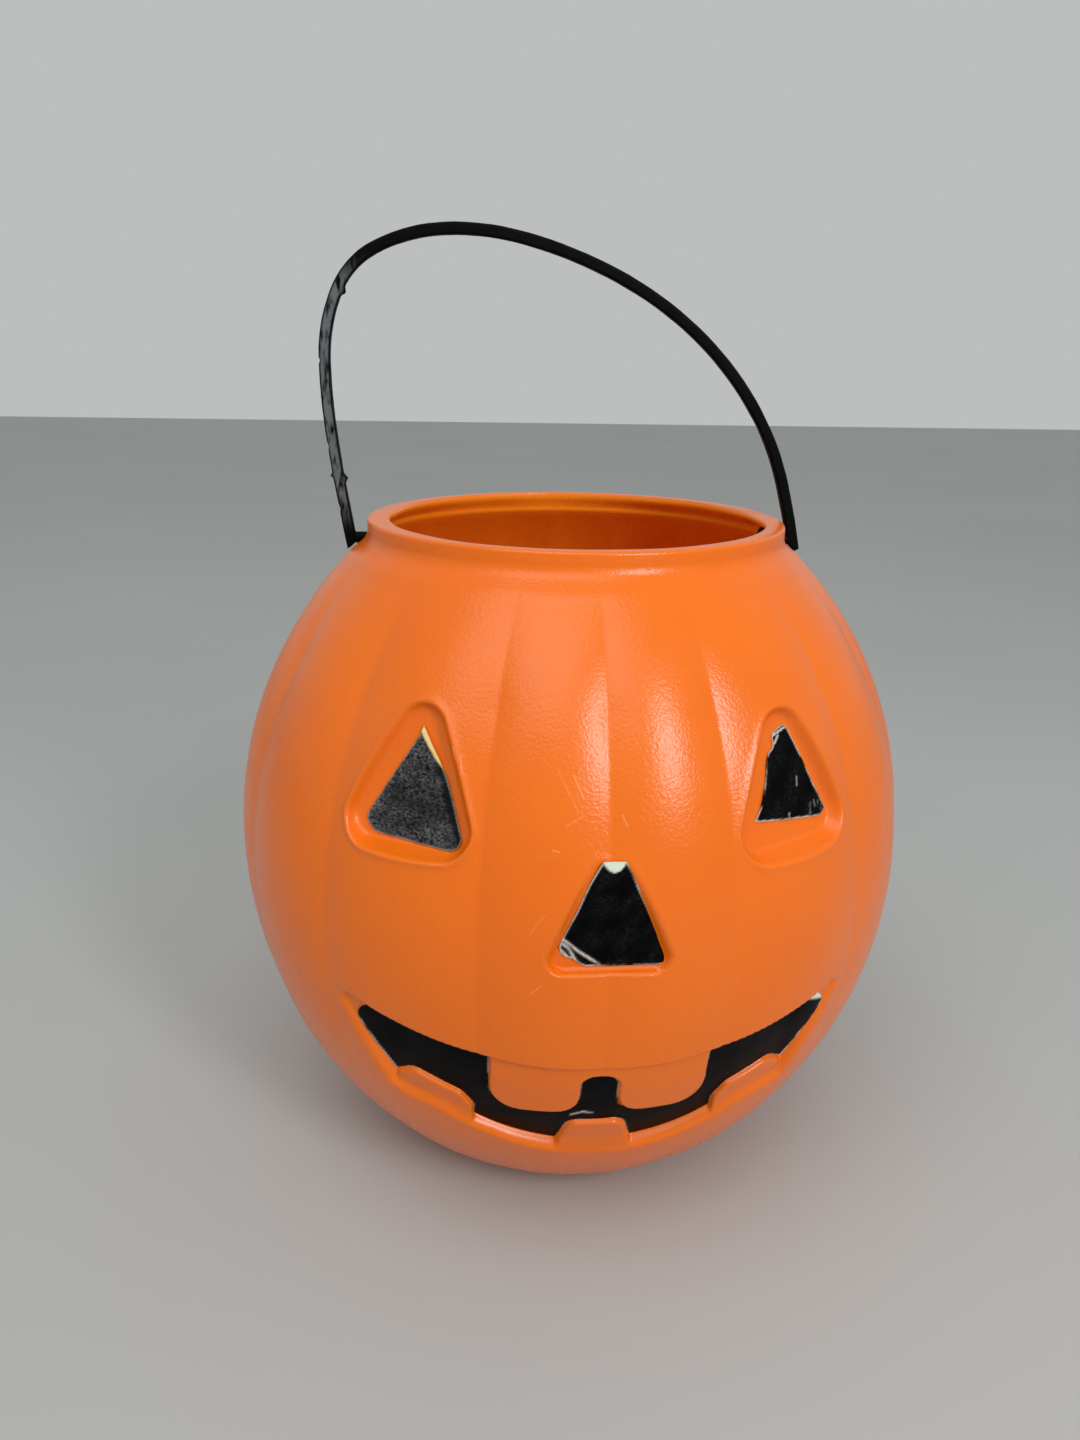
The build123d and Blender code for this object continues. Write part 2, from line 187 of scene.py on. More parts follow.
# Mouth and teeth, in front view. The opening of the ends is given for the left and the right one.
MOUTH_DEPTH = 3.6
MOUTH_END_DEPTH = 1.6
MOUTH_END_SHALLOWS = (48.0, 62.0)
MOUTH_HALF_WIDTH = 66.5
MOUTH_CORNER_Z = 85.4
MOUTH_CORNER_RADIUS = 4.2
UPPER_LIP_Z = 73.8
LOWER_LIP_Z = 40.9
LOWER_LIP_RADIUS = 77.0
LOWER_LIP_DRAFT = 38.0
MOUTH_CHEEK = (51.3, 58.2)
MOUTH_END_OPENING = (9.5, 11.0)
MOUTH_END_REACH = (38.0, 56.0)
WALL_DRAFT = 12.0
CHEEK_DRAFT = 36.0
CHEEK_TURN = (-3.0, 5.0)
MOUTH_ZONE_FRONT = 40.0
MOUTH_ZONE_Z = (20.0, 100.0)
MOUTH_ZONE_HALF_WIDTH = 80.0
UPPER_TOOTH_DEPTH = 1.6
LOWER_TOOTH_DEPTH = 1.8
LOWER_TOOTH_RISE = (-3.0, 4.0)
UPPER_TEETH_HALF_WIDTH = 27.6
UPPER_TEETH_BOTTOM_Z = 56.4
UPPER_TEETH_RADIUS = 8.0
TEETH_GAP_HALF_WIDTH = 5.2
TEETH_GAP_TOP_Z = 71.0
TEETH_GAP_RADIUS = 4.5
CENTRE_TOOTH = ((-12.4, 30.0), (12.4, 30.0), (7.0, 51.0), (-7.0, 51.0))
CENTRE_TOOTH_RADIUS = 3.2
SIDE_TOOTH = ((32.3, 30.0), (51.9, 30.0), (51.9, 59.7), (47.0, 63.0), (35.2, 58.4), (32.3, 54.0))
SIDE_TOOTH_RADIUS = 3.2

# Softness of the moulded edges: the height over which two faces run into one another.
EYE_RIM_BLEND = 1.0
NOSE_RIM_BLEND = 2.0
UPPER_LIP_BLEND = 0.7
LOWER_LIP_BLEND = 3.2
LIP_BLEND_SPAN = (3.0, 14.0)
MOUTH_END_BLEND = 1.6
MOUTH_END_BLEND_SPAN = (54.0, 64.0)
FLOOR_BLEND = 0.8
UPPER_TOOTH_BLEND = 0.8
LOWER_TOOTH_BLEND = 2.2
TEETH_TIP_BLEND = 7.0
EYE_BEADS = {1: 0.35, -1: 0.6}
NOSE_BEAD = 0.4
RIM_BEAD_WIDTH = 1.5

# Films.
FILM_THICKNESS = 0.3
FILM_GLUE = 0.05
FILM_CELL = 0.4
MOUTH_FILM_CELL = 0.55
FILM_MARGIN = 0.2
FILM_SMOOTH_ANGLE = 50.0
SHEET_MARGIN = 1.0
PRISM_HALF_HEIGHT = 2.0
CUT_EDGE_START = 0.05
# Share of a mark's width that is pale all over.
MARK_CORE = 0.3
# Outline of the mouth's film, and its chipped corner and nick.
MOUTH_FILM_ARC_INSET = 15.0
MOUTH_FILM_ARC_POINTS = 41
MOUTH_FILM_DROP = 12.0
MOUTH_FILM_TOP_Z = 110.0
LIP_FOOT_HALF_WIDTH = 70.0
LIP_FOOT_POINTS = 121
LIP_FOOT_SEARCH_Z = (20.0, 90.0)
LIP_FOOT_HALVINGS = 40
TEETH_TIP_RADIUS = 3.0
CENTRE_TOOTH_FILM_RADIUS = 2.8
MOUTH_CHIP_X = (55.0, 56.0)
MOUTH_CHIP_Z = (80.4, 81.2)
MOUTH_CHIP_LEAN = 0.35
MOUTH_NICK = ((-6.5, 53.8), (-3.5, 55.2), (-1.0, 54.4))

# Scratches on the face: start and end, right and up, width and strength.
FACE_SCRATCHES = (
    ((-8.6, 149.6), (-6.3, 144.5), 0.24, 0.34), ((-12.2, 150.9), (-9.7, 145.7), 0.2, 0.12),
    ((-10.4, 147.4), (-7.4, 141.4), 0.2, 0.14), ((-10.5, 138.8), (-6.3, 140.9), 0.2, 0.2),
    ((-13.5, 133.4), (-12.0, 133.0), 0.26, 0.3), ((2.6, 140.8), (3.8, 138.4), 0.22, 0.3),
    ((-36.1, 153.4), (-35.7, 150.5), 0.3, 0.3), ((-34.3, 151.8), (-34.2, 148.0), 0.22, 0.2),
    ((-15.2, 118.6), (-18.8, 113.4), 0.22, 0.12), ((-18.5, 97.6), (-16.0, 100.3), 0.22, 0.2),
)

# Strap handle.
HINGE_Z = 189.007
HINGE_HALF_SPAN = 66.09
ARCH_RISE = 84.0
ARCH_POINT_SHARES = (
    (-1.0, 0.0), (-1.047, 0.226), (-1.079, 0.470), (-1.076, 0.690), (-0.968, 0.887),
    (-0.716, 0.982), (-0.427, 0.998), (-0.091, 0.943), (0.259, 0.827), (0.557, 0.661),
    (0.791, 0.446), (0.943, 0.202), (1.0, 0.0),
)
LEG_END_LENGTH = 3.2
LEG_CLEARANCE = 0.6
STRAP_WIDTH = 3.4
STRAP_DEPTH = 3.2
STRAP_ROUNDING = 0.5
PIN_RADIUS = 1.6
PIN_CLEARANCE = 0.4
PIN_SIDES = 40
BORE_SIDES = 50
BORE_LENGTH = 16.0
HEAD_RADIUS = 3.6
HEAD_THICKNESS = 2.2
HEAD_ROUNDING = 0.8
HEAD_STEPS = 4
STRAP_SMOOTH_ANGLE = 40.0
STRAP_EDGE = 0.9
STRAP_ROUGHNESS = 0.03
STRAP_FLASH = 0.06
# How much faster the strap's roughness and flash change across it than along it.
STRAP_ROUGH_ACROSS = 3.0
STRAP_FLASH_ACROSS = 4.0
ARCH_STEPS = 44
SECTION_STEPS = 4
LEG_END_SHARE = 0.8
BURR_SIDE = (0.9, 1.5)
BURR_FRONT = (-1.2, 0.4)
# Bounds of the painted grey sheen on the left leg's front face.
SHEEN_FACE = (0.9, 1.3)
SHEEN_LEG_X = (55.0, 66.0)
SHEEN_LEG_FOOT_Z = (190.0, 204.0)
SHEEN_LEG_TOP_Z = (256.0, 266.0)
# Torn burrs and nicks on the left leg: height, side (1 is outward), length, reach.
STRAP_BURRS = (
    (256.0, -1, 1.0, 1.0), (206.0, -1, 0.9, 1.1), (206.8, 1, 0.5, 0.7), (226.0, -1, 0.6, -0.35),
    (231.5, -1, 1.2, -0.4), (215.0, 1, 0.8, -0.3), (238.0, 1, 0.6, -0.35), (197.5, 1, 0.9, -0.3),
)

# Hand-cut outlines of the films on their floors, right and up from the middle of each recess.
LEFT_EYE_FILM = (
    (-1.8, 15.0), (-2.4, 12.6), (-5.2, 7.8), (-9.6, -0.2), (-14.1, -8.4), (-14.1, -10.2),
    (-12.8, -11.8), (-11.0, -12.7), (-6.1, -12.9), (1.8, -13.3), (8.0, -13.5), (10.1, -13.3),
    (11.6, -12.3), (12.2, -10.3), (11.4, -8.3), (9.7, -4.2), (6.5, 3.0), (5.2, 5.1), (3.7, 7.6),
    (1.4, 10.6), (-0.7, 13.6),
)
LEFT_EYE_FOLD = (
    (-1.8, 15.2), (-2.3, 13.4), (-1.5, 12.1), (0.1, 10.2), (2.2, 7.7), (4.2, 6.0), (5.4, 5.0),
    (3.9, 7.7), (1.6, 10.7), (-0.5, 13.8),
)
RIGHT_EYE_FILM = (
    (3.9, 14.2), (2.0, 13.6), (0.1, 12.7), (-0.4, 11.3), (-0.2, 10.1), (-0.5, 9.1), (-2.1, 7.9),
    (-3.0, 5.8), (-3.7, 2.9), (-4.6, 0.1), (-5.7, -2.7), (-6.8, -4.9), (-8.1, -6.4), (-9.2, -7.6),
    (-5.4, -8.3), (0.7, -9.2), (6.9, -10.0), (11.8, -10.6), (13.4, -10.2), (14.6, -9.0),
    (13.6, -6.4), (11.7, -2.3), (8.6, 5.4), (6.4, 10.1), (5.0, 13.1),
)
RIGHT_EYE_CREASES = (((0.1, 12.0), (4.5, 13.5)), ((1.7, 11.7), (0.2, 10.0)))
RIGHT_EYE_SCRATCHES = (
    ((9.9, -7.0), (9.5, -9.4)), ((11.2, -6.6), (11.4, -7.9)), ((12.5, -6.8), (12.4, -8.1)),
    ((13.4, -8.0), (13.4, -9.2)), ((2.3, -8.0), (2.1, -8.6)), ((6.2, 0.5), (6.0, -1.6)),
)
NOSE_FILM = (
    (-1.9, 11.9), (3.5, 11.9), (4.0, 10.8), (5.3, 8.0), (7.2, 3.7), (10.2, -2.8), (12.9, -8.7),
    (14.6, -11.6), (14.6, -13.3), (13.5, -14.7), (11.4, -15.0), (4.9, -15.0), (-5.3, -14.9),
    (-6.7, -14.3), (-8.1, -12.9), (-9.8, -12.3), (-11.3, -11.4), (-11.7, -9.5), (-10.9, -7.4),
    (-7.8, -0.8), (-4.8, 6.6), (-2.9, 10.2),
)
NOSE_FILM_MIDDLE_Z = 119.0
NOSE_CHIP = ((-1.8, 12.2), (-1.8, 11.3), (-0.6, 9.8), (0.7, 9.1), (2.0, 9.6), (3.1, 11.0), (3.4, 12.2))
NOSE_CREASES = (
    ((-10.9, -7.6), (-6.8, -11.2), (-1.3, -15.1)),
    ((-10.9, -8.8), (-9.5, -10.0), (-7.4, -13.9), (-6.1, -15.4)),
    ((-11.5, -10.3), (-9.8, -12.1)),
)

# Wear of the films. Pale cut edges, creases and scratches: strength and width.
LEFT_EYE_CUT = (0.3, 0.35)
RIGHT_EYE_CUT = (0.75, 0.35)
NOSE_CUT = (0.7, 0.4)
MOUTH_CUT = (0.8, 0.5)
RIGHT_EYE_CREASE_MARK = (0.8, 0.4)
RIGHT_EYE_SCRATCH_MARK = (0.35, 0.4)
NOSE_CREASE_MARK = (0.9, 0.4)
MOUTH_NICK_MARK = (0.8, 0.5)
# Patches of painted grey sheen: level, swing, seed and size of the noise.
LEFT_EYE_SHEEN = (0.45, 0.2, 8, 9.0)
RIGHT_EYE_SHEEN = (0.12, 0.1, 18, 9.0)
NOSE_SHEEN = (0.12, 0.1, 28, 8.0)
MOUTH_SHEEN = (0.05, 0.05, 38, 14.0)
# Crinkles: height, seed and size of the noise.
LEFT_EYE_CRINKLE = (0.10, 4, 7.0)
LEFT_EYE_FINE_CRINKLE = (0.05, 5, 2.6)
RIGHT_EYE_CRINKLE = (0.06, 14, 9.0)
NOSE_CRINKLE = (0.05, 24, 8.0)
NOSE_TEAR_CRINKLE = (0.2, 25, 2.4)
MOUTH_CRINKLE = (0.05, 34, 11.0)
# Edges of fold, chip and tear, the left eye's top and rim with more painted grey sheen and its right
# side without it, and the painted sheen on the torn corner.
LEFT_EYE_FOLD_EDGE = (-0.3, 0.1)
LEFT_EYE_FOLD_LIFT = 0.45
LEFT_EYE_TOP = (0.0, 7.0)
LEFT_EYE_TOP_SHEEN = 0.45
LEFT_EYE_RIM = (1.0, 4.0)
LEFT_EYE_RIM_SHEEN = 0.4
LEFT_EYE_DARK_SIDE = (4.0, 6.8)
LEFT_EYE_DARK_LEAN = 0.49
NOSE_CHIP_EDGE = (-0.25, 0.15)
NOSE_TEAR_PLACE = (-10.2, -12.0)
NOSE_TEAR_HEADING = (-0.62, -0.78)
NOSE_TEAR_SPAN = (-2.2, 0.3)
NOSE_TEAR_SHEEN = 0.9


def srgb(red, green, blue):
    """Linear colour of a screen colour given in 0 to 255."""
    def linear(level):
        share = level / 255
        return share / 12.92 if share <= 0.04045 else ((share + 0.055) / 1.055) ** 2.4
    return (linear(red), linear(green), linear(blue), 1.0)


# Blends and distances, on arrays of points.

def smooth_min(a, b, blend):
    overlap = np.maximum(blend - np.abs(a - b), 0.0)
    return np.minimum(a, b) - overlap**2 / (4 * blend)


def smooth_max(a, b, blend):
    return -smooth_min(-a, -b, blend)


def fade(value, low, high):
    """Soft step from 0 at low to 1 at high."""
    share = np.clip((value - low) / (high - low), 0.0, 1.0)
    return share * share * (3 - 2 * share)


def run_distance(u, v, start, end):
    """Distance from one straight run."""
    run_u, run_v = end[0] - start[0], end[1] - start[1]
    along = np.clip(((u - start[0]) * run_u + (v - start[1]) * run_v) / (run_u**2 + run_v**2), 0, 1)
    return np.hypot(u - start[0] - along * run_u, v - start[1] - along * run_v)


def line_distance(u, v, line):
    """Distance from a line of straight runs."""
    return np.minimum.reduce([run_distance(u, v, a, b) for a, b in zip(line, line[1:])])


def outline_distance(u, v, outline):
    """Signed distance from a closed outline, negative inside."""
    inside = np.zeros(np.shape(u), bool)
    for (a_u, a_v), (b_u, b_v) in zip(outline, outline[1:] + outline[:1]):
        crosses = (a_v > v) != (b_v > v)
        inside ^= crosses & (u < a_u + (v - a_v) * (b_u - a_u) / ((b_v - a_v) or 1.0))
    distance = line_distance(u, v, outline + outline[:1])
    return np.where(inside, -distance, distance)


def inset_outline(outline, distance):
    """Convex anticlockwise outline with every edge moved in."""
    corners = np.array(outline)
    runs = np.roll(corners, -1, axis=0) - corners
    runs /= np.linalg.norm(runs, axis=1, keepdims=True)
    before = np.roll(runs, 1, axis=0)
    turn = before[:, 0] * runs[:, 1] - before[:, 1] * runs[:, 0]
    return tuple(map(tuple, corners + distance * (runs - before) / turn[:, None]))


def rounded_distance(u, v, outline, radius):
    """Signed distance from a convex outline with rounded corners."""
    return outline_distance(u, v, inset_outline(outline, radius)) - radius


def rounded_bar(x, z, half_width, end_z, radius, upward):
    """Signed distance from an upright bar about the middle, with a rounded end at end_z."""
    side = np.abs(x) - (half_width - radius)
    end = upward * (z - end_z) + radius
    outside = np.hypot(np.maximum(side, 0), np.maximum(end, 0))
    return outside + np.minimum(np.maximum(side, end), 0) - radius


def rounded_outline(corners, radii, steps=8):
    """Closed outline with an arc of its own radius at each corner."""
    points = []
    for index, radius in enumerate(radii):
        here = np.array(corners[index])
        back = np.array(corners[index - 1]) - here
        ahead = np.array(corners[(index + 1) % len(corners)]) - here
        back, ahead = back / np.linalg.norm(back), ahead / np.linalg.norm(ahead)
        half = math.acos(np.clip(back @ ahead, -1, 1)) / 2
        if radius == 0 or half > math.radians(NEARLY_STRAIGHT):
            points.append(tuple(here))
            continue
        start, end = here + back * radius / math.tan(half), here + ahead * radius / math.tan(half)
        middle = here + (back + ahead) / np.linalg.norm(back + ahead) * radius / math.sin(half)
        first = math.atan2(*(start - middle)[::-1])
        sweep = (math.atan2(*(end - middle)[::-1]) - first + math.pi) % (2 * math.pi) - math.pi
        for share in np.linspace(0, 1, steps):
            angle = first + sweep * share
            points.append(tuple(middle + radius * np.array([math.cos(angle), math.sin(angle)])))
    return tuple(points)


def ripple(*places, seed, size, octaves=3):
    """Smooth seeded noise of about unit height, from sums of waves of the given size."""
    chance = np.random.RandomState(seed)
    total = np.zeros(np.shape(places[0]))
    for octave in range(octaves):
        for _ in range(RIPPLE_WAVES):
            heading = chance.normal(size=len(places))
            heading *= 2**octave / (size * np.linalg.norm(heading))
            phase = sum(place * part for place, part in zip(places, heading))
            total += np.sin(2 * np.pi * (phase + chance.rand())) / 2**octave
    return total / RIPPLE_HEIGHT


# Shape of the pail.

def body_radius(z, inset=0.0):
    """Radius at the lobe crests at height z, moved in by inset."""
    semi_axis = np.where(z > WIDEST_Z, UPPER_SEMI_AXIS, LOWER_SEMI_AXIS) - inset
    return (BODY_RADIUS - inset) * np.sqrt(np.maximum(1 - ((z - WIDEST_Z) / semi_axis) ** 2, 0))


def wall_slope(z):
    """Tangent of the angle by which the wall's outward normal points up at height z."""
    semi_axis = UPPER_SEMI_AXIS if z > WIDEST_Z else LOWER_SEMI_AXIS
    rise = (z - WIDEST_Z) / semi_axis
    return BODY_RADIUS * rise / (semi_axis * math.sqrt(1 - rise**2))


def front_of_core(x, z, inset):
    """How far in front of the middle the uncreased body lies, moved in by inset."""
    return np.sqrt(np.maximum(body_radius(z, inset) ** 2 - x**2, 0))


def crease_depth(z):
    growth = (np.maximum(z, 0) / CREASE_DEEPEST_Z) ** CREASE_GROWTH
    run_out = (SHOULDER_Z - z) / (SHOULDER_Z - CREASE_DEEPEST_Z)
    depth = np.maximum(CREASE_DEPTH * np.minimum(growth, run_out), CREASE_LEAST_DEPTH)
    return depth * fade(SHOULDER_Z - z, 0, CREASE_FADE)


def lobe_fall(angle, z):
    """How far the wall falls back from the lobe crests: most at the creases."""
    turned = np.abs(angle)
    lobe = np.clip(np.searchsorted(CREASES, turned, side="right") - 1, 0, len(CREASES) - 2)
    low, high = CREASES[lobe], CREASES[lobe + 1]
    across = (2 * turned - low - high) / (high - low)
    return crease_depth(z) * across**2


def eye_place(side):
    """Middle of an eye on the wall and its right, up and out directions. Side is 1 for the right eye."""
    azimuth, elevation = math.radians(EYE_AZIMUTH), math.radians(EYE_ELEVATION)
    radius = float(body_radius(EYE_Z))
    middle = np.array([side * radius * math.sin(azimuth), -radius * math.cos(azimuth), EYE_Z])
    right = np.array([math.cos(azimuth), side * math.sin(azimuth), 0.0])
    out = np.array([
        side * math.sin(azimuth) * math.cos(elevation),
        -math.cos(azimuth) * math.cos(elevation),
        math.sin(elevation),
    ])
    return middle, right, np.cross(out, right), out


def nose_place():
    middle_z = (NOSE_BOTTOM_Z + NOSE_TOP_Z) / 2
    elevation = math.radians(NOSE_ELEVATION)
    middle = np.array([0.0, -float(body_radius(middle_z)), middle_z])
    right = np.array([1.0, 0.0, 0.0])
    out = np.array([0.0, -math.cos(elevation), math.sin(elevation)])
    return middle, right, np.cross(out, right), out


def nose_outline():
    half_height = (NOSE_TOP_Z - NOSE_BOTTOM_Z) / 2
    low, high = NOSE_BOTTOM_WIDTH / 2, NOSE_TOP_WIDTH / 2
    return ((-low, -half_height), (low, -half_height), (high, half_height), (-high, half_height))


def press_flat(points, skin, place, outline, radius, depth, margin, drafts, blend, bead):
    """Presses a flat-floored recess into the wall. The drafts are of its lower wall and of its sides."""
    middle, right, up, out = place
    local = points - middle
    u, v, height = local @ right, local @ up, local @ out
    edge = rounded_distance(u, v, outline, radius) - margin
    low = min(corner[1] for corner in outline)
    draft = np.radians(drafts[0] + (drafts[1] - drafts[0]) * fade(v - low, *LEDGE_SPAN))
    wall = edge / np.tan(draft) - skin / np.sin(draft) - depth
    recess = smooth_max(wall, -depth - skin, FLOOR_BLEND)
    shift = np.minimum(smooth_min(height, recess, blend) - height, 0)
    shift += bead * np.exp(-(((height - wall) / RIM_BEAD_WIDTH) ** 2)) * (skin == 0)
    shift[(height < -RECESS_BACK_DEPTHS * depth - RECESS_BACK) | (edge > RECESS_REACH)] = 0
    return points + shift[:, None] * out


def upper_teeth_distance(x, z):
    block = rounded_bar(x, z, UPPER_TEETH_HALF_WIDTH, UPPER_TEETH_BOTTOM_Z, UPPER_TEETH_RADIUS, -1)
    gap = rounded_bar(x, z, TEETH_GAP_HALF_WIDTH, TEETH_GAP_TOP_Z, TEETH_GAP_RADIUS, 1)
    return smooth_max(block, -gap, TEETH_TIP_BLEND)


def lower_teeth_distance(x, z):
    centre = rounded_distance(x, z, CENTRE_TOOTH, CENTRE_TOOTH_RADIUS)
    side = rounded_distance(np.abs(x), z, SIDE_TOOTH, SIDE_TOOTH_RADIUS)
    return np.minimum(centre, side)


def upper_lip_arc():
    """Radius and middle height of the arc of the upper lip."""
    sag = MOUTH_CORNER_Z - UPPER_LIP_Z
    radius = (MOUTH_HALF_WIDTH**2 + sag**2) / (2 * sag)
    return radius, UPPER_LIP_Z + radius


def upper_lip_distance(x, z):
    """Distance above the upper lip, negative in the mouth."""
    radius, middle_z = upper_lip_arc()
    return radius - np.hypot(x, z - middle_z)


def cheek_distance(x, z):
    """Distance beyond the straight line from the side teeth up to the mouth's ends."""
    run = np.array(MOUTH_CHEEK) - (MOUTH_HALF_WIDTH, MOUTH_CORNER_Z)
    run /= np.linalg.norm(run)
    return (np.abs(x) - MOUTH_HALF_WIDTH) * -run[1] + (z - MOUTH_CORNER_Z) * run[0]


def mouth_edge_distance(x, z):
    """Signed distance from the upper lip and the cheeks, negative in the mouth."""
    past_lip = upper_lip_distance(x, z) + MOUTH_CORNER_RADIUS
    past_cheek = cheek_distance(x, z) + MOUTH_CORNER_RADIUS
    outside = np.hypot(np.maximum(past_lip, 0), np.maximum(past_cheek, 0))
    return outside + np.minimum(np.maximum(past_lip, past_cheek), 0) - MOUTH_CORNER_RADIUS


def mouth_depth(x):
    """Depth of the mouth's floor, which rises towards the ends."""
    return MOUTH_DEPTH - (MOUTH_DEPTH - MOUTH_END_DEPTH) * fade(np.abs(x), *MOUTH_END_SHALLOWS)


def lower_lip_reach(x, z):
    """Distance below the foot of the lower lip, an arc that opens towards the mouth's ends."""
    reach = np.hypot(x, z - LOWER_LIP_Z - LOWER_LIP_RADIUS) - LOWER_LIP_RADIUS
    return reach - np.where(x < 0, *MOUTH_END_OPENING) * fade(np.abs(x), *MOUTH_END_REACH)


def lower_lip_front(x, z, skin):
    """Front of the sloping lower lip, a cone about the draw direction."""
    slope = math.radians(LOWER_LIP_DRAFT)
    reach = lower_lip_reach(x, z) - skin / math.cos(slope)
    return float(body_radius(LOWER_LIP_Z, MOUTH_DEPTH)) + reach / math.tan(slope)


def press_mouth(points, skin):
    """Presses the mouth into the front, with its teeth left standing."""
    x, z, front = points[:, 0], points[:, 2], -points[:, 1]
    steep = math.tan(math.radians(WALL_DRAFT))
    floor = front_of_core(x, z, mouth_depth(x) + skin)
    by_cheek = fade(cheek_distance(x, z) - upper_lip_distance(x, z), *CHEEK_TURN)
    lean = np.tan(np.radians(WALL_DRAFT + (CHEEK_DRAFT - WALL_DRAFT) * by_cheek))
    recess = smooth_max(floor, floor + (mouth_edge_distance(x, z) - skin) / lean, FLOOR_BLEND)
    recess = smooth_max(recess, lower_lip_front(x, z, skin), FLOOR_BLEND)
    lower_depth = LOWER_TOOTH_DEPTH * fade(-lower_lip_reach(x, z), *LOWER_TOOTH_RISE)
    for distance, depth, blend in (
        (upper_teeth_distance(x, z), UPPER_TOOTH_DEPTH, UPPER_TOOTH_BLEND),
        (lower_teeth_distance(x, z), lower_depth, LOWER_TOOTH_BLEND),
    ):
        crown = front_of_core(x, z, depth + skin)
        tooth = smooth_min(crown, crown - (distance + skin) / steep, blend)
        recess = smooth_max(recess, tooth, blend)
    below_lip = fade(-upper_lip_distance(x, z), *LIP_BLEND_SPAN)
    blend = UPPER_LIP_BLEND + (LOWER_LIP_BLEND - UPPER_LIP_BLEND) * below_lip
    blend = blend + MOUTH_END_BLEND * fade(np.abs(x), *MOUTH_END_BLEND_SPAN)
    pressed = np.minimum(smooth_min(front, recess, blend), front)
    in_front = (front > MOUTH_ZONE_FRONT) & (np.abs(x) < MOUTH_ZONE_HALF_WIDTH)
    in_front &= (z > MOUTH_ZONE_Z[0]) & (z < MOUTH_ZONE_Z[1])
    moved = points.copy()
    moved[:, 1] = np.where(in_front, -pressed, points[:, 1])
    return moved


def pressed_face(points, skin):
    """The wall with eyes, nose and mouth pressed in."""
    for side in (1, -1):
        drafts = (EYE_LEDGE_DRAFTS[side], EYE_DRAFT)
        points = press_flat(
            points, skin, eye_place(side), EYE_OUTLINES[side], EYE_CORNER_RADIUS,
            EYE_DEPTH, EYE_MARGIN, drafts, EYE_RIM_BLEND, EYE_BEADS[side],
        )
    points = press_flat(
        points, skin, nose_place(), nose_outline(), NOSE_CORNER_RADIUS,
        NOSE_DEPTH, NOSE_MARGIN, (NOSE_LEDGE_DRAFT, NOSE_DRAFT), NOSE_RIM_BLEND, NOSE_BEAD,
    )
    return press_mouth(points, skin)


# Handling of pieces.

def deselect():
    if bpy.context.mode != "OBJECT":
        bpy.ops.object.mode_set(mode="OBJECT")
    bpy.ops.object.select_all(action="DESELECT")


def take(piece):
    """Makes a piece the only one selected."""
    deselect()
    piece.select_set(True)
    bpy.context.view_layer.objects.active = piece


def edit(piece, kind="VERT"):
    """Opens a piece in edit mode with all of it selected."""
    take(piece)
    bpy.ops.object.mode_set(mode="EDIT")
    bpy.ops.mesh.select_mode(type=kind)
    bpy.ops.mesh.select_all(action="SELECT")


def new_piece(name):
    """The piece that an operator has just added, under its own name."""
    piece = bpy.context.object
    piece.name = piece.data.name = name
    return piece


def points_of(piece):
    """Places of a piece's vertices, one row each."""
    flat = np.empty(3 * len(piece.data.vertices))
    piece.data.vertices.foreach_get("co", flat)
    return flat.reshape(-1, 3) / MM


def move_points(piece, points):
    piece.data.vertices.foreach_set("co", (points * MM).ravel())
    piece.data.update()


def keep_on_points(piece, name, values):
    """Keeps one value for each vertex, for the materials to read."""
    layer = piece.data.attributes.new(name, "FLOAT", "POINT")
    layer.data.foreach_set("value", np.asarray(values, np.float32))


def apply_modifier(piece, kind, **settings):
    take(piece)
    modifier = piece.modifiers.new(kind.title(), kind)
    for key, value in settings.items():
        setattr(modifier, key, value)
    bpy.ops.object.modifier_apply(modifier=modifier.name)


def combine(piece, tool, operation):
    """Cuts, trims or joins a piece with a closed tool, which is used up."""
    apply_modifier(piece, "BOOLEAN", object=tool, operation=operation, solver="EXACT")
    bpy.data.objects.remove(tool)


def close_up(piece):
    """Merges seams and turns all faces outwards."""
    edit(piece)
    bpy.ops.mesh.remove_doubles(threshold=SEAM * MM)
    bpy.ops.mesh.normals_make_consistent(inside=False)
    bpy.ops.object.mode_set(mode="OBJECT")


def smooth_by_angle(piece, degrees):
    take(piece)
    bpy.ops.object.shade_smooth_by_angle(angle=math.radians(degrees))


def extrude(move):
    """Extrudes what is selected by a move in millimetres."""
    step = tuple(part * MM for part in move)
    bpy.ops.mesh.extrude_region_move(TRANSFORM_OT_translate={"value": step})


def thicken(piece, height):
    """Extrudes a flat piece upwards into a closed block."""
    edit(piece)
    extrude((0, 0, height))
    bpy.ops.mesh.select_all(action="SELECT")
    bpy.ops.mesh.normals_make_consistent(inside=False)
    bpy.ops.object.mode_set(mode="OBJECT")


def split_where(piece, amount, step):
    """Splits each face over which an amount changes by more than step, and its neighbours."""
    mesh = piece.data
    starts = np.empty(len(mesh.polygons), np.int32)
    mesh.polygons.foreach_get("loop_start", starts)
    corners = np.empty(len(mesh.loops), np.int32)
    mesh.loops.foreach_get("vertex_index", corners)
    amounts = amount[corners]
    change = np.maximum.reduceat(amounts, starts) - np.minimum.reduceat(amounts, starts)
    edit(piece, "FACE")
    bpy.ops.mesh.select_all(action="DESELECT")
    bpy.ops.object.mode_set(mode="OBJECT")
    mesh.polygons.foreach_set("select", change > step)
    bpy.ops.object.mode_set(mode="EDIT")
    bpy.ops.mesh.select_more()
    bpy.ops.mesh.subdivide(number_cuts=1, ngon=False)
    bpy.ops.object.mode_set(mode="OBJECT")


# Shell of the pail.

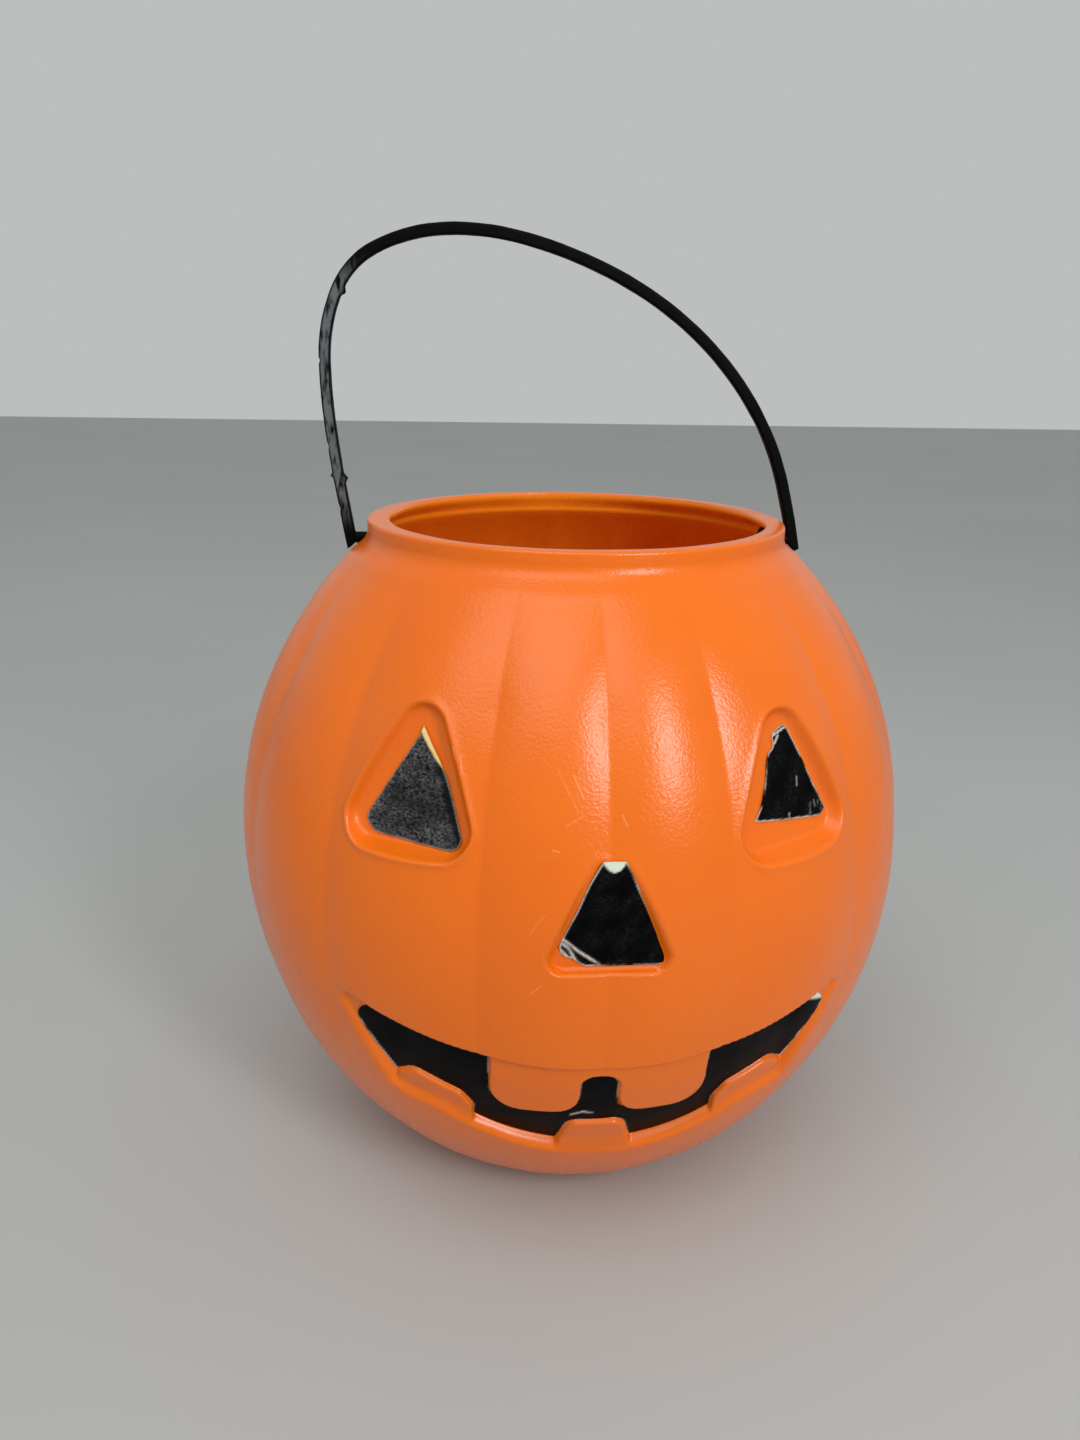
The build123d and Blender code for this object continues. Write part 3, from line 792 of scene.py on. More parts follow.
def wall_heights(low, high, step, inset=0.0):
    """Heights about step apart along the wall, from low to high."""
    def turn(z):
        semi_axis = UPPER_SEMI_AXIS if z > WIDEST_Z else LOWER_SEMI_AXIS
        return math.asin((z - WIDEST_Z) / (semi_axis - inset))
    count = max(1, round((turn(high) - turn(low)) * BODY_RADIUS / step))
    turns = np.linspace(turn(low), turn(high), count + 1)
    semi_axes = np.where(turns > 0, UPPER_SEMI_AXIS, LOWER_SEMI_AXIS) - inset
    return WIDEST_Z + semi_axes * np.sin(turns)


def shell_profile():
    """Radius and height of the shell's section, from the middle of its underside round to its inside."""
    fillet_r, fillet_z = COLLAR_FILLET_CENTRE
    fillet_foot = fillet_z + COLLAR_FILLET * math.sin(math.radians(COLLAR_FILLET_START))
    heights = np.concatenate([
        wall_heights(WALL_FOOT_Z, FACE_LOW_Z, COARSE_STEP),
        wall_heights(FACE_LOW_Z, FACE_HIGH_Z, FACE_STEP)[1:],
        wall_heights(FACE_HIGH_Z, fillet_foot, FACE_STEP)[1:-1],
    ])
    profile = list(UNDERSIDE) + [(float(body_radius(z)), float(z)) for z in heights]
    round_r, round_z = COLLAR_RADIUS - RIM_ROUNDING, RIM_Z - RIM_ROUNDING
    for middle_r, middle_z, radius, first, last, steps in (
        (fillet_r, fillet_z, COLLAR_FILLET, COLLAR_FILLET_START, 180, FILLET_STEPS),
        (round_r, round_z, RIM_ROUNDING, 0, 90, ROUNDING_STEPS),
    ):
        for turn in np.radians(np.linspace(first, last, steps)):
            profile.append((middle_r + radius * math.cos(turn), middle_z + radius * math.sin(turn)))
    inner_edge, neck_radius = COLLAR_RADIUS - LIP_WIDTH, COLLAR_RADIUS - WALL
    lip_foot = RIM_Z - LIP_THICKNESS
    profile += [(radius, RIM_Z) for radius in LIP_RADII]
    profile += [(inner_edge + out, RIM_Z + up) for out, up in LIP_TOP_EDGE]
    profile += [(inner_edge + out, lip_foot + up) for out, up in LIP_FOOT_EDGE]
    profile += [(radius, lip_foot) for radius in reversed(LIP_RADII)]
    profile += [(neck_radius + out, lip_foot + up) for out, up in NECK_CORNER]
    neck_share = neck_radius / (BODY_RADIUS - WALL)
    neck_foot = WIDEST_Z + (UPPER_SEMI_AXIS - WALL) * math.sqrt(1 - neck_share**2)
    above, below = NECK_FOOT_GAPS
    profile.append((neck_radius, neck_foot + above))
    inner = wall_heights(INSIDE_FOOT_Z, neck_foot - below, COARSE_STEP, WALL)[::-1]
    profile += [(float(body_radius(z, WALL)), float(z)) for z in inner]
    return profile + list(INSIDE_FLOOR)


def lip_width(angle):
    """Width of the trimmed lip round the rim: wider at the handle's sides, cut by hand."""
    turn = np.radians(angle)
    wave = sum(height * np.sin(count * turn + phase) for count, height, phase in LIP_WAVES)
    return LIP_WIDTH - LIP_WIDTH_SWING * (LIP_SIDE_SHARE + np.cos(2 * turn)) + LIP_WAVE * wave


def moulded_places(points):
    """Places of the plain turned shell's points on the moulded shell."""
    x, y, z = points.T
    radius, angle = np.hypot(x, y), np.degrees(np.arctan2(x, -y))
    gap = body_radius(z) - radius
    on_wall = (z > MOVED_LOW_Z) & (z < SHOULDER_Z - MOVED_TOP_GAP)
    on_wall &= (gap < MOVED_DEPTH) & (radius > MOVED_LEAST_RADIUS)
    skin = np.where(on_wall & (gap > WALL / 2), WALL, 0.0)
    step = SHOULDER_STEP * np.exp(-(((z - SHOULDER_STEP_Z) / SHOULDER_STEP_HEIGHT) ** 2)) * (skin == 0)
    radius = radius - np.where(on_wall, lobe_fall(angle, z) - step, 0)
    neck, lip_foot, neck_foot = COLLAR_RADIUS - WALL, RIM_Z - LIP_THICKNESS, SHOULDER_Z - NECK_DROP
    on_lip = (z > lip_foot - LIP_SLACK) & (radius < neck)
    under_lip = (z > neck_foot) & (z < lip_foot + LIP_SLACK) & (radius < neck + NECK_SLACK)
    in_lip = np.clip((radius - COLLAR_RADIUS + LIP_WIDTH) / (LIP_WIDTH - WALL), 0, 1)
    fillet = LIP_FILLET * in_lip * (z - neck_foot) / (lip_foot - neck_foot)
    clear_of_pins = fade(np.abs(np.abs(angle) - 90), *LIP_FILLET_GAP)
    z = z - np.where(under_lip, fillet * clear_of_pins, 0)
    trimmed = neck - (neck - radius) * (lip_width(angle) - WALL) / (LIP_WIDTH - WALL)
    radius = np.where(on_lip, trimmed, radius)
    turn = np.radians(angle)
    moved = np.column_stack([radius * np.sin(turn), -radius * np.cos(turn), z])
    return np.where(on_wall[:, None], pressed_face(moved, skin), moved)


def inside_share(points):
    """1 on the turned shell's inner faces, 0 on its outer ones."""
    radius, z = np.hypot(points[:, 0], points[:, 1]), points[:, 2]
    behind = body_radius(z) - radius > WALL / 2
    wall = (z > WALL) & (z < SHOULDER_Z) & (radius > FOOT_RADIUS) & behind
    neck = (z > SHOULDER_Z - INSIDE_NECK_DROP) & (z < RIM_Z - INSIDE_RIM_DROP)
    neck &= radius < COLLAR_RADIUS - WALL + INSIDE_SLACK
    floor = (radius < FOOT_RADIUS + INSIDE_SLACK) & (z > WALL - INSIDE_SLACK) & (z < INSIDE_FLOOR_TOP_Z)
    floor &= (z > PUSH_UP_MIDDLE_Z) | (radius > PUSH_UP_RADIUS)
    return (wall | neck | floor).astype(float)


def moulded_shell():
    """Shell: a turned profile, its columns set to the creases, then lobes and face pressed in."""
    deselect()
    bpy.ops.mesh.primitive_plane_add(size=MM)
    shell = new_piece("moulded_shell")
    edit(shell)
    bpy.ops.mesh.merge(type="CENTER")
    profile = shell_profile()
    bpy.ops.transform.translate(value=(0, 0, profile[0][1] * MM))
    for (radius, z), (next_radius, next_z) in zip(profile, profile[1:]):
        move = (0, (radius - next_radius) * MM, (next_z - z) * MM)
        bpy.ops.mesh.extrude_vertices_move(TRANSFORM_OT_translate={"value": move})
    bpy.ops.mesh.select_all(action="SELECT")
    columns = 2 * sum(COLUMNS)
    bpy.ops.mesh.spin(steps=columns, angle=2 * math.pi, center=(0, 0, 0), axis=(0, 0, 1))
    close_up(shell)

    points = points_of(shell)
    x, y, _ = points.T
    radius, angle = np.hypot(x, y), np.degrees(np.arctan2(x, -y))
    column_angles = np.linspace(0, 180, sum(COLUMNS) + 1)
    ends = np.concatenate([[0], np.cumsum(COLUMNS)])
    lobe = np.interp(np.arange(sum(COLUMNS) + 1), ends, np.arange(len(CREASES)))
    lobe -= CREASE_CROWDING * np.sin(2 * math.pi * lobe) / (2 * math.pi)
    spaced = np.interp(lobe, np.arange(len(CREASES)), CREASES)
    turn = np.radians(np.sign(angle) * np.interp(np.abs(angle), column_angles, spaced))
    points[:, 0], points[:, 1] = radius * np.sin(turn), -radius * np.cos(turn)
    move_points(shell, points)

    for step in SPLIT_STEPS:
        points = points_of(shell)
        move = np.linalg.norm(moulded_places(points) - points, axis=1)
        split_where(shell, move * (1 - INSIDE_COARSENESS * inside_share(points)), step)
    # Marks the inner faces, which the material paints with a brighter glow.
    keep_on_points(shell, "inside", inside_share(points_of(shell)))
    low, high = np.array(cad_box) / MM
    move_points(shell, np.clip(moulded_places(points_of(shell)), low, high))

    for side in (1, -1):
        deselect()
        bpy.ops.mesh.primitive_cylinder_add(
            vertices=BORE_SIDES, radius=(PIN_RADIUS + PIN_CLEARANCE) * MM, depth=BORE_LENGTH * MM,
            location=(side * COLLAR_RADIUS * MM, 0, HINGE_Z * MM), rotation=(0, math.pi / 2, 0),
        )
        combine(shell, new_piece("pin_bore"), "DIFFERENCE")
    take(shell)
    bpy.ops.object.shade_smooth()
    return shell


# Films.

def prism(name, outline):
    """Closed prism over an outline in the XY plane."""
    deselect()
    bpy.ops.mesh.primitive_circle_add(vertices=len(outline), radius=MM, fill_type="NGON")
    block = new_piece(name)
    move_points(block, np.column_stack([outline, np.full(len(outline), -PRISM_HALF_HEIGHT)]))
    thicken(block, 2 * PRISM_HALF_HEIGHT)
    return block


def film_sheet(name, low, high, cell):
    """Flat sheet of film between two corners, as fine as its crinkles need."""
    deselect()
    size = np.subtract(high, low)
    cells = np.ceil(size / cell).astype(int)
    across, up = int(cells[0]), int(cells[1])
    bpy.ops.mesh.primitive_grid_add(x_subdivisions=across, y_subdivisions=up, size=MM)
    sheet = new_piece(name)
    points = points_of(sheet)
    points[:, :2] = np.add(low, high) / 2 + points[:, :2] * size
    move_points(sheet, points)
    thicken(sheet, FILM_THICKNESS)
    return sheet


def cut_film(name, outline, cell):
    """Film cut to an outline."""
    corners = np.array(outline)
    low, high = corners.min(axis=0) - SHEET_MARGIN, corners.max(axis=0) + SHEET_MARGIN
    sheet = film_sheet(name, low, high, cell)
    combine(sheet, prism("film_outline", outline), "INTERSECT")
    return sheet


def lay_film(film, place, depth, lift):
    """Lays a flat film on a recess floor, lifted off it by the given heights."""
    middle, right, up, out = place
    u, v, w = points_of(film).T
    height = w + lift + FILM_GLUE - depth
    move_points(film, middle + u[:, None] * right + v[:, None] * up + height[:, None] * out)
    smooth_by_angle(film, FILM_SMOOTH_ANGLE)


def line_marks(u, v, lines, strength, width):
    """Pale lines, fading out over their width."""
    return strength * np.maximum.reduce([
        1 - fade(line_distance(u, v, line), MARK_CORE * width, width) for line in lines
    ])


def cut_edge(edge, strength, width):
    """Pale line along a film's cut edge."""
    return strength * (1 - fade(edge, CUT_EDGE_START, width))


def uneven(u, v, level, swing, seed, size):
    """A level that swings from place to place."""
    return level + swing * ripple(u, v, seed=seed, size=size)


def crinkles(u, v, height, seed, size):
    """Lift of a film that lies unevenly on its floor."""
    return uneven(u, v, height, height, seed, size)


def keep_marks(film, bare, cream, sheen_share):
    """Keeps where a film is rubbed bare, where it shows its back, and its share of painted grey sheen.
    """
    for name, values in (("bare", bare), ("cream", cream), ("sheen_share", sheen_share)):
        keep_on_points(film, name, values)


def left_eye_film():
    """Film with a corner that folds forward, with a painted grey sheen but for its right side."""
    film = cut_film("left_eye_film", LEFT_EYE_FILM, FILM_CELL)
    u, v = points_of(film)[:, :2].T
    edge = -outline_distance(u, v, LEFT_EYE_FILM)
    folded = 1 - fade(outline_distance(u, v, LEFT_EYE_FOLD), *LEFT_EYE_FOLD_EDGE)
    # Painted sheen: grey most at the film's top and rim and none on its right side, where light would
    # glint on its crinkles.
    sheen_level = uneven(u, v, *LEFT_EYE_SHEEN) + LEFT_EYE_TOP_SHEEN * fade(v, *LEFT_EYE_TOP)
    sheen_level = sheen_level + LEFT_EYE_RIM_SHEEN * (1 - fade(edge, *LEFT_EYE_RIM))
    sheen_level = sheen_level - fade(u + LEFT_EYE_DARK_LEAN * v, *LEFT_EYE_DARK_SIDE)
    keep_marks(film, cut_edge(edge, *LEFT_EYE_CUT), folded, np.clip(sheen_level, 0, 1))
    lift = crinkles(u, v, *LEFT_EYE_CRINKLE) + crinkles(u, v, *LEFT_EYE_FINE_CRINKLE)
    lay_film(film, eye_place(-1), EYE_DEPTH, lift + LEFT_EYE_FOLD_LIFT * folded)
    return film


def right_eye_film():
    """Film with a creased tip and a few scratches."""
    film = cut_film("right_eye_film", RIGHT_EYE_FILM, FILM_CELL)
    u, v = points_of(film)[:, :2].T
    bare = np.maximum.reduce([
        cut_edge(-outline_distance(u, v, RIGHT_EYE_FILM), *RIGHT_EYE_CUT),
        line_marks(u, v, RIGHT_EYE_CREASES, *RIGHT_EYE_CREASE_MARK),
        line_marks(u, v, RIGHT_EYE_SCRATCHES, *RIGHT_EYE_SCRATCH_MARK),
    ])
    # The film gets faint patches of painted grey sheen.
    keep_marks(film, bare, 0 * u, uneven(u, v, *RIGHT_EYE_SHEEN))
    lay_film(film, eye_place(1), EYE_DEPTH, crinkles(u, v, *RIGHT_EYE_CRINKLE))
    return film


def nose_film():
    """Film with a chipped tip and a torn, creased lower left corner."""
    film = cut_film("nose_film", NOSE_FILM, FILM_CELL)
    u, v = points_of(film)[:, :2].T
    edge = cut_edge(-outline_distance(u, v, NOSE_FILM), *NOSE_CUT)
    bare = np.maximum(edge, line_marks(u, v, NOSE_CREASES, *NOSE_CREASE_MARK))
    chip = 1 - fade(outline_distance(u, v, NOSE_CHIP), *NOSE_CHIP_EDGE)
    (tear_u, tear_v), (lean_u, lean_v) = NOSE_TEAR_PLACE, NOSE_TEAR_HEADING
    torn = fade((u - tear_u) * lean_u + (v - tear_v) * lean_v, *NOSE_TEAR_SPAN)
    # Painted grey sheen on the torn corner and in faint patches.
    keep_marks(film, bare, chip, np.maximum(NOSE_TEAR_SHEEN * torn, uneven(u, v, *NOSE_SHEEN)))
    middle, right, up, out = nose_place()
    middle = middle + up * (NOSE_FILM_MIDDLE_Z - middle[2])
    lift = crinkles(u, v, *NOSE_CRINKLE) + torn * crinkles(u, v, *NOSE_TEAR_CRINKLE)
    lay_film(film, (middle, right, up, out), NOSE_DEPTH, lift)
    return film


def mouth_film():
    """Film on the mouth's curved floor, clear of the lips and the teeth."""
    half = MOUTH_HALF_WIDTH - FILM_MARGIN
    radius, middle_z = upper_lip_arc()
    arc_end = half - MOUTH_FILM_ARC_INSET
    arc_x = np.linspace(-arc_end, arc_end, MOUTH_FILM_ARC_POINTS)
    arc = [(x, middle_z - math.sqrt((radius + FILM_MARGIN) ** 2 - x * x)) for x in arc_x]
    corner_z = MOUTH_CORNER_Z - FILM_MARGIN
    cheek_x, cheek_z = MOUTH_CHEEK[0] - FILM_MARGIN, MOUTH_CHEEK[1]
    corners = arc + [
        (half, corner_z), (cheek_x, cheek_z), (0, LOWER_LIP_Z - MOUTH_FILM_DROP),
        (-cheek_x, cheek_z), (-half, corner_z),
    ]
    radii = [0] * len(arc) + [MOUTH_CORNER_RADIUS, 0, 0, 0, MOUTH_CORNER_RADIUS]
    film = cut_film("mouth_film", rounded_outline(corners, radii), MOUTH_FILM_CELL)

    reach, top = LIP_FOOT_HALF_WIDTH, MOUTH_FILM_TOP_Z
    lip_x = np.linspace(reach, -reach, LIP_FOOT_POINTS)
    low, high = (np.full(lip_x.shape, z) for z in LIP_FOOT_SEARCH_Z)
    for _ in range(LIP_FOOT_HALVINGS):
        middle = (low + high) / 2
        floor = front_of_core(lip_x, middle, mouth_depth(lip_x))
        above = lower_lip_front(lip_x, middle, -FILM_MARGIN) < floor
        low, high = np.where(above, low, middle), np.where(above, middle, high)
    lip_foot = tuple(zip(lip_x, high)) + ((-reach, top), (reach, top))
    combine(film, prism("lip_foot", lip_foot), "INTERSECT")

    grown = FILM_MARGIN
    side, bottom = UPPER_TEETH_HALF_WIDTH + grown, UPPER_TEETH_BOTTOM_Z - grown
    gap, gap_top = TEETH_GAP_HALF_WIDTH - grown, TEETH_GAP_TOP_Z - grown
    upper = (
        (-side, top), (-side, bottom), (-gap, bottom), (-gap, gap_top),
        (gap, gap_top), (gap, bottom), (side, bottom), (side, top),
    )
    big, small, tip = UPPER_TEETH_RADIUS + grown, TEETH_GAP_RADIUS - grown, TEETH_TIP_RADIUS
    right_tooth = rounded_outline(inset_outline(SIDE_TOOTH, -grown), (0, 0) + (SIDE_TOOTH_RADIUS,) * 4)
    cuts = (
        rounded_outline(upper, (0, big, tip, small, small, tip, big, 0)),
        rounded_outline(inset_outline(CENTRE_TOOTH, -grown), (0, 0) + (CENTRE_TOOTH_FILM_RADIUS,) * 2),
        right_tooth,
        tuple((-x, z) for x, z in reversed(right_tooth)),
    )
    for outline in cuts:
        combine(film, prism("tooth_clearance", outline), "DIFFERENCE")

    x, z, w = points_of(film).T
    edge = np.minimum.reduce([
        -mouth_edge_distance(x, z), upper_teeth_distance(x, z), lower_teeth_distance(x, z),
    ]) - FILM_MARGIN
    chip = fade(x, *MOUTH_CHIP_X) * fade(z + MOUTH_CHIP_LEAN * (x - MOUTH_CHIP_X[1]), *MOUTH_CHIP_Z)
    nick = line_marks(x, z, (MOUTH_NICK,), *MOUTH_NICK_MARK)
    bare = np.maximum(cut_edge(np.abs(edge), *MOUTH_CUT), nick)
    # Faint patches of painted grey sheen.
    keep_marks(film, bare, chip, uneven(x, z, *MOUTH_SHEEN))
    lift = FILM_GLUE + w + crinkles(x, z, *MOUTH_CRINKLE)
    move_points(film, np.column_stack([x, -front_of_core(x, z, mouth_depth(x)) - lift, z]))
    close_up(film)
    smooth_by_angle(film, FILM_SMOOTH_ANGLE)
    return film


# Strap handle.

def arch_points():
    """Route of the strap, its ends a little below the hinge line."""
    route = np.array([(x * HINGE_HALF_SPAN, HINGE_Z + z * ARCH_RISE) for x, z in ARCH_POINT_SHARES])
    for end, neighbour in ((0, 1), (-1, -2)):
        run = route[end] - route[neighbour]
        route[end] += run / np.linalg.norm(run) * LEG_END_LENGTH
    return route


def arch_curve():
    deselect()
    bpy.ops.curve.primitive_nurbs_path_add()
    curve = new_piece("arch_line")
    spline = curve.data.splines[0]
    route = arch_points()
    spline.points.add(len(route) - len(spline.points))
    for point, (x, z) in zip(spline.points, route):
        point.co = (x * MM, 0, z * MM, 1)
    spline.order_u = 3
    spline.use_endpoint_u = True
    spline.resolution_u = ARCH_STEPS
    return curve


def strap_section():
    """Section of the strap with rounded edges, as a flat closed curve."""
    half = np.array([STRAP_WIDTH, STRAP_DEPTH]) / 2
    shares = (
        (-1, -1), (-0.5, -1), (0.5, -1), (1, -1), (1, -0.5), (1, 0.5),
        (1, 1), (0.5, 1), (-0.5, 1), (-1, 1), (-1, 0.5), (-1, -0.5),
    )
    corners = [half * share for share in shares]
    outline = rounded_outline(corners, (STRAP_ROUNDING, 0, 0) * 4, SECTION_STEPS)
    section = bpy.data.curves.new("strap_section", "CURVE")
    spline = section.splines.new("POLY")
    spline.points.add(len(outline) - 1)
    for point, (u, v) in zip(spline.points, outline):
        point.co = (u * MM, v * MM, 0, 1)
    spline.use_cyclic_u = True
    holder = bpy.data.objects.new("strap_section", section)
    bpy.context.scene.collection.objects.link(holder)
    return holder


def line_places(points, line):
    """Nearest place of each point on a line of close points: distance along it, and out from it."""
    steps = np.linalg.norm(np.diff(line, axis=0), axis=1)
    along = np.concatenate([[0], np.cumsum(steps)])
    ahead = np.gradient(line, axis=0)
    ahead /= np.linalg.norm(ahead, axis=1, keepdims=True)
    outward = np.column_stack([-ahead[:, 1], ahead[:, 0]])
    flat = points[:, [0, 2]]
    nearest = np.array([np.argmin(((line - place) ** 2).sum(axis=1)) for place in flat])
    offset = flat - line[nearest]
    return along[nearest], (offset * outward[nearest]).sum(axis=1), outward[nearest]


def hinge_pin(side):
    """Pin with a rounded mushroom head inside the collar."""
    face = math.sqrt((COLLAR_RADIUS - WALL) ** 2 - HEAD_RADIUS**2) - LEG_CLEARANCE
    back = face - HEAD_THICKNESS
    spread = HEAD_RADIUS - HEAD_ROUNDING
    turns = np.radians(np.linspace(0, 90, HEAD_STEPS + 1))
    steps = [
        (HEAD_ROUNDING * (math.cos(before) - math.cos(turn)), spread + HEAD_ROUNDING * math.sin(turn))
        for before, turn in zip(turns, turns[1:])
    ]
    steps += [(HEAD_THICKNESS - HEAD_ROUNDING, HEAD_RADIUS), (0, PIN_RADIUS)]
    steps += [(HINGE_HALF_SPAN - face, PIN_RADIUS)]
    middle = (0, 0, HINGE_Z * MM)
    deselect()
    bpy.ops.mesh.primitive_circle_add(
        vertices=PIN_SIDES, radius=spread * MM, fill_type="NGON",
        location=(back * MM, 0, HINGE_Z * MM), rotation=(0, math.pi / 2, 0),
    )
    pin = new_piece("hinge_pin")
    bpy.ops.object.transform_apply()
    edit(pin)
    for reach, radius in steps:
        extrude((reach, 0, 0))
        bpy.ops.transform.resize(value=(1, radius / spread, radius / spread), center_override=middle)
        spread = radius
    bpy.ops.object.mode_set(mode="OBJECT")
    points = points_of(pin)
    points[:, 0] *= side
    move_points(pin, points)
    close_up(pin)
    return pin


def strap_handle():
    """Flexible strap with rough moulded edges, relieved legs, and a headed pin at each foot."""
    bare_line = arch_curve()
    line_mesh = bpy.data.meshes.new_from_object(bare_line)
    line = np.array([vertex.co for vertex in line_mesh.vertices])[:, [0, 2]] / MM
    bpy.data.meshes.remove(line_mesh)
    outline = strap_section()
    bare_line.data.bevel_mode = "OBJECT"
    bare_line.data.bevel_object = outline
    bare_line.data.use_fill_caps = True
    take(bare_line)
    bpy.ops.object.convert(target="MESH")
    strap = new_piece("strap_handle")
    bpy.data.objects.remove(outline)
    close_up(strap)

    points = points_of(strap)
    along, out, outward = line_places(points, line)
    across = points[:, 1]
    corner = fade(np.abs(out), STRAP_EDGE, STRAP_WIDTH / 2)
    corner *= fade(np.abs(across), STRAP_EDGE, STRAP_DEPTH / 2)
    section = np.array([out, across])
    rough = ripple(along, *STRAP_ROUGH_ACROSS * section, seed=51, size=22.0)
    flash = ripple(along, *STRAP_FLASH_ACROSS * np.sign(section), seed=52, size=6.0)
    shrink = STRAP_ROUGHNESS * (1 + rough) + corner * STRAP_FLASH * (1 + flash)
    out_share = 1 - shrink / (STRAP_WIDTH / 2)
    points[:, [0, 2]] += outward * (out * (out_share - 1))[:, None]
    points[:, 1] = across * (1 - shrink / (STRAP_DEPTH / 2))
    for height, side, length, reach in STRAP_BURRS:
        on_side = fade(side * out, *BURR_SIDE) * (points[:, 0] < 0) * fade(-across, *BURR_FRONT)
        push = side * reach * on_side * np.exp(-(((points[:, 2] - height) / length) ** 2))
        points[:, [0, 2]] += outward * push[:, None]
    hinge_reach = np.hypot(points[:, 1], points[:, 2] - HINGE_Z)
    shoulder = float(body_radius(HINGE_Z)) + LEG_CLEARANCE + wall_slope(HINGE_Z) * hinge_reach
    shoulder = np.minimum(shoulder, HINGE_HALF_SPAN + LEG_END_SHARE * STRAP_WIDTH / 2)
    below = points[:, 2] < HINGE_Z
    points[below, 0] = np.sign(points[below, 0]) * np.maximum(np.abs(points[below, 0]), shoulder[below])
    move_points(strap, points)
    x, y, z = points.T
    # Painted reflection: the left leg's front face is greyed as if it mirrored the bright room.
    left_leg = fade(-x, *SHEEN_LEG_X) * fade(z, *SHEEN_LEG_FOOT_Z) * (1 - fade(z, *SHEEN_LEG_TOP_Z))
    front = fade(-y, *SHEEN_FACE) * (1 - fade(np.abs(out), *SHEEN_FACE))
    keep_on_points(strap, "sheen_share", left_leg * front)
    smooth_by_angle(strap, STRAP_SMOOTH_ANGLE)

    pins = [hinge_pin(side) for side in (1, -1)]
    for pin in pins:
        keep_on_points(pin, "sheen_share", np.zeros(len(pin.data.vertices)))
        smooth_by_angle(pin, STRAP_SMOOTH_ANGLE)
    take(strap)
    for pin in pins:
        pin.select_set(True)
    bpy.ops.object.join()
    return strap


# Materials.

ORANGE, BRIGHT_ORANGE = srgb(234, 107, 2), srgb(239, 112, 5)
# The inside's brighter orange is a painted glow, standing in for light through the thin wall and between
# the inner faces.
INSIDE_GLOW_ORANGE = srgb(255, 140, 26)
SCRATCH_ORANGE = srgb(252, 196, 146)
FILM_BLACK, FILM_CUT = srgb(3, 3, 3), srgb(222, 214, 206)
# Greys of the films' painted sheen.
FILM_SHEEN, CRINKLED_SHEEN = srgb(60, 60, 63), srgb(112, 114, 118)
CREAM_BACK, PALE_BACK = srgb(236, 208, 146), srgb(222, 228, 212)
# The strap's grey is a painted sheen for one leg's front face.
STRAP_BLACK, STRAP_SHEEN_GREY = srgb(3, 3, 4), srgb(98, 103, 107)


def feed(tree, made, inputs):
    """Sets inputs of a node, each to a value or to another node's output."""
    for key, value in inputs.items():
        if isinstance(value, bpy.types.NodeSocket):
            tree.links.new(value, made.inputs[key])
        else:
            made.inputs[key].default_value = value


def node(tree, kind, inputs=None, **settings):
    """Adds a node with its settings and inputs."""
    made = tree.nodes.new(kind)
    for key, value in settings.items():
        setattr(made, key, value)
    feed(tree, made, inputs or {})
    return made


def new_material(name):
    """Material with a bare principled shader: its tree, its shader and Object coordinates."""
    material = bpy.data.materials.new(name)
    material.use_nodes = True
    tree = material.node_tree
    place = node(tree, "ShaderNodeTexCoord").outputs["Object"]
    return material, tree, tree.nodes["Principled BSDF"], place


def noise(tree, place, scale, detail=2.0):
    inputs = {"Vector": place, "Scale": scale, "Detail": detail}
    return node(tree, "ShaderNodeTexNoise", inputs).outputs["Fac"]


def stretched(tree, place, scale):
    return node(tree, "ShaderNodeMapping", {"Vector": place, "Scale": scale}).outputs["Vector"]


def spread(tree, value, low, high, to_low=0.0, to_high=1.0):
    """Maps low..high of a value to another range, held at its ends."""
    inputs = {"Value": value, "From Min": low, "From Max": high, "To Min": to_low, "To Max": to_high}
    return node(tree, "ShaderNodeMapRange", inputs).outputs["Result"]


def math_of(tree, operation, a, b=0.0):
    return node(tree, "ShaderNodeMath", {0: a, 1: b}, operation=operation).outputs["Value"]


def times(tree, a, b):
    return math_of(tree, "MULTIPLY", a, b)


def vector_of(tree, operation, a, b, output="Vector"):
    return node(tree, "ShaderNodeVectorMath", {0: a, 1: b}, operation=operation).outputs[output]


def mix_colour(tree, share, a, b):
    return node(tree, "ShaderNodeMix", {0: share, 6: a, 7: b}, data_type="RGBA").outputs[2]


def bump(tree, height, strength, distance, before=None):
    inputs = {"Height": height, "Strength": strength, "Distance": distance}
    if before is not None:
        inputs["Normal"] = before
    return node(tree, "ShaderNodeBump", inputs).outputs["Normal"]


def kept(tree, name):
    """Value kept on the piece's points."""
    return node(tree, "ShaderNodeAttribute", attribute_name=name).outputs["Fac"]


def scratch_mark(tree, place, start, end, width):
    """1 on a straight scratch on the face, given right and up, fading out over its width."""
    run = np.subtract(end, start)
    heading = run / (run @ run) / MM
    flat = vector_of(tree, "MULTIPLY", place, (1, 0, 1))
    offset = vector_of(tree, "SUBTRACT", flat, (start[0] * MM, 0, start[1] * MM))
    along = vector_of(tree, "DOT_PRODUCT", offset, (heading[0], 0, heading[1]), "Value")
    length = {0: (run[0] * MM, 0, run[1] * MM), "Scale": spread(tree, along, 0.0, 1.0)}
    nearest = node(tree, "ShaderNodeVectorMath", length, operation="SCALE").outputs["Vector"]
    away = vector_of(tree, "DISTANCE", offset, nearest, "Value")
    return spread(tree, away, MARK_CORE * width * MM, width * MM, 1.0, 0.0)


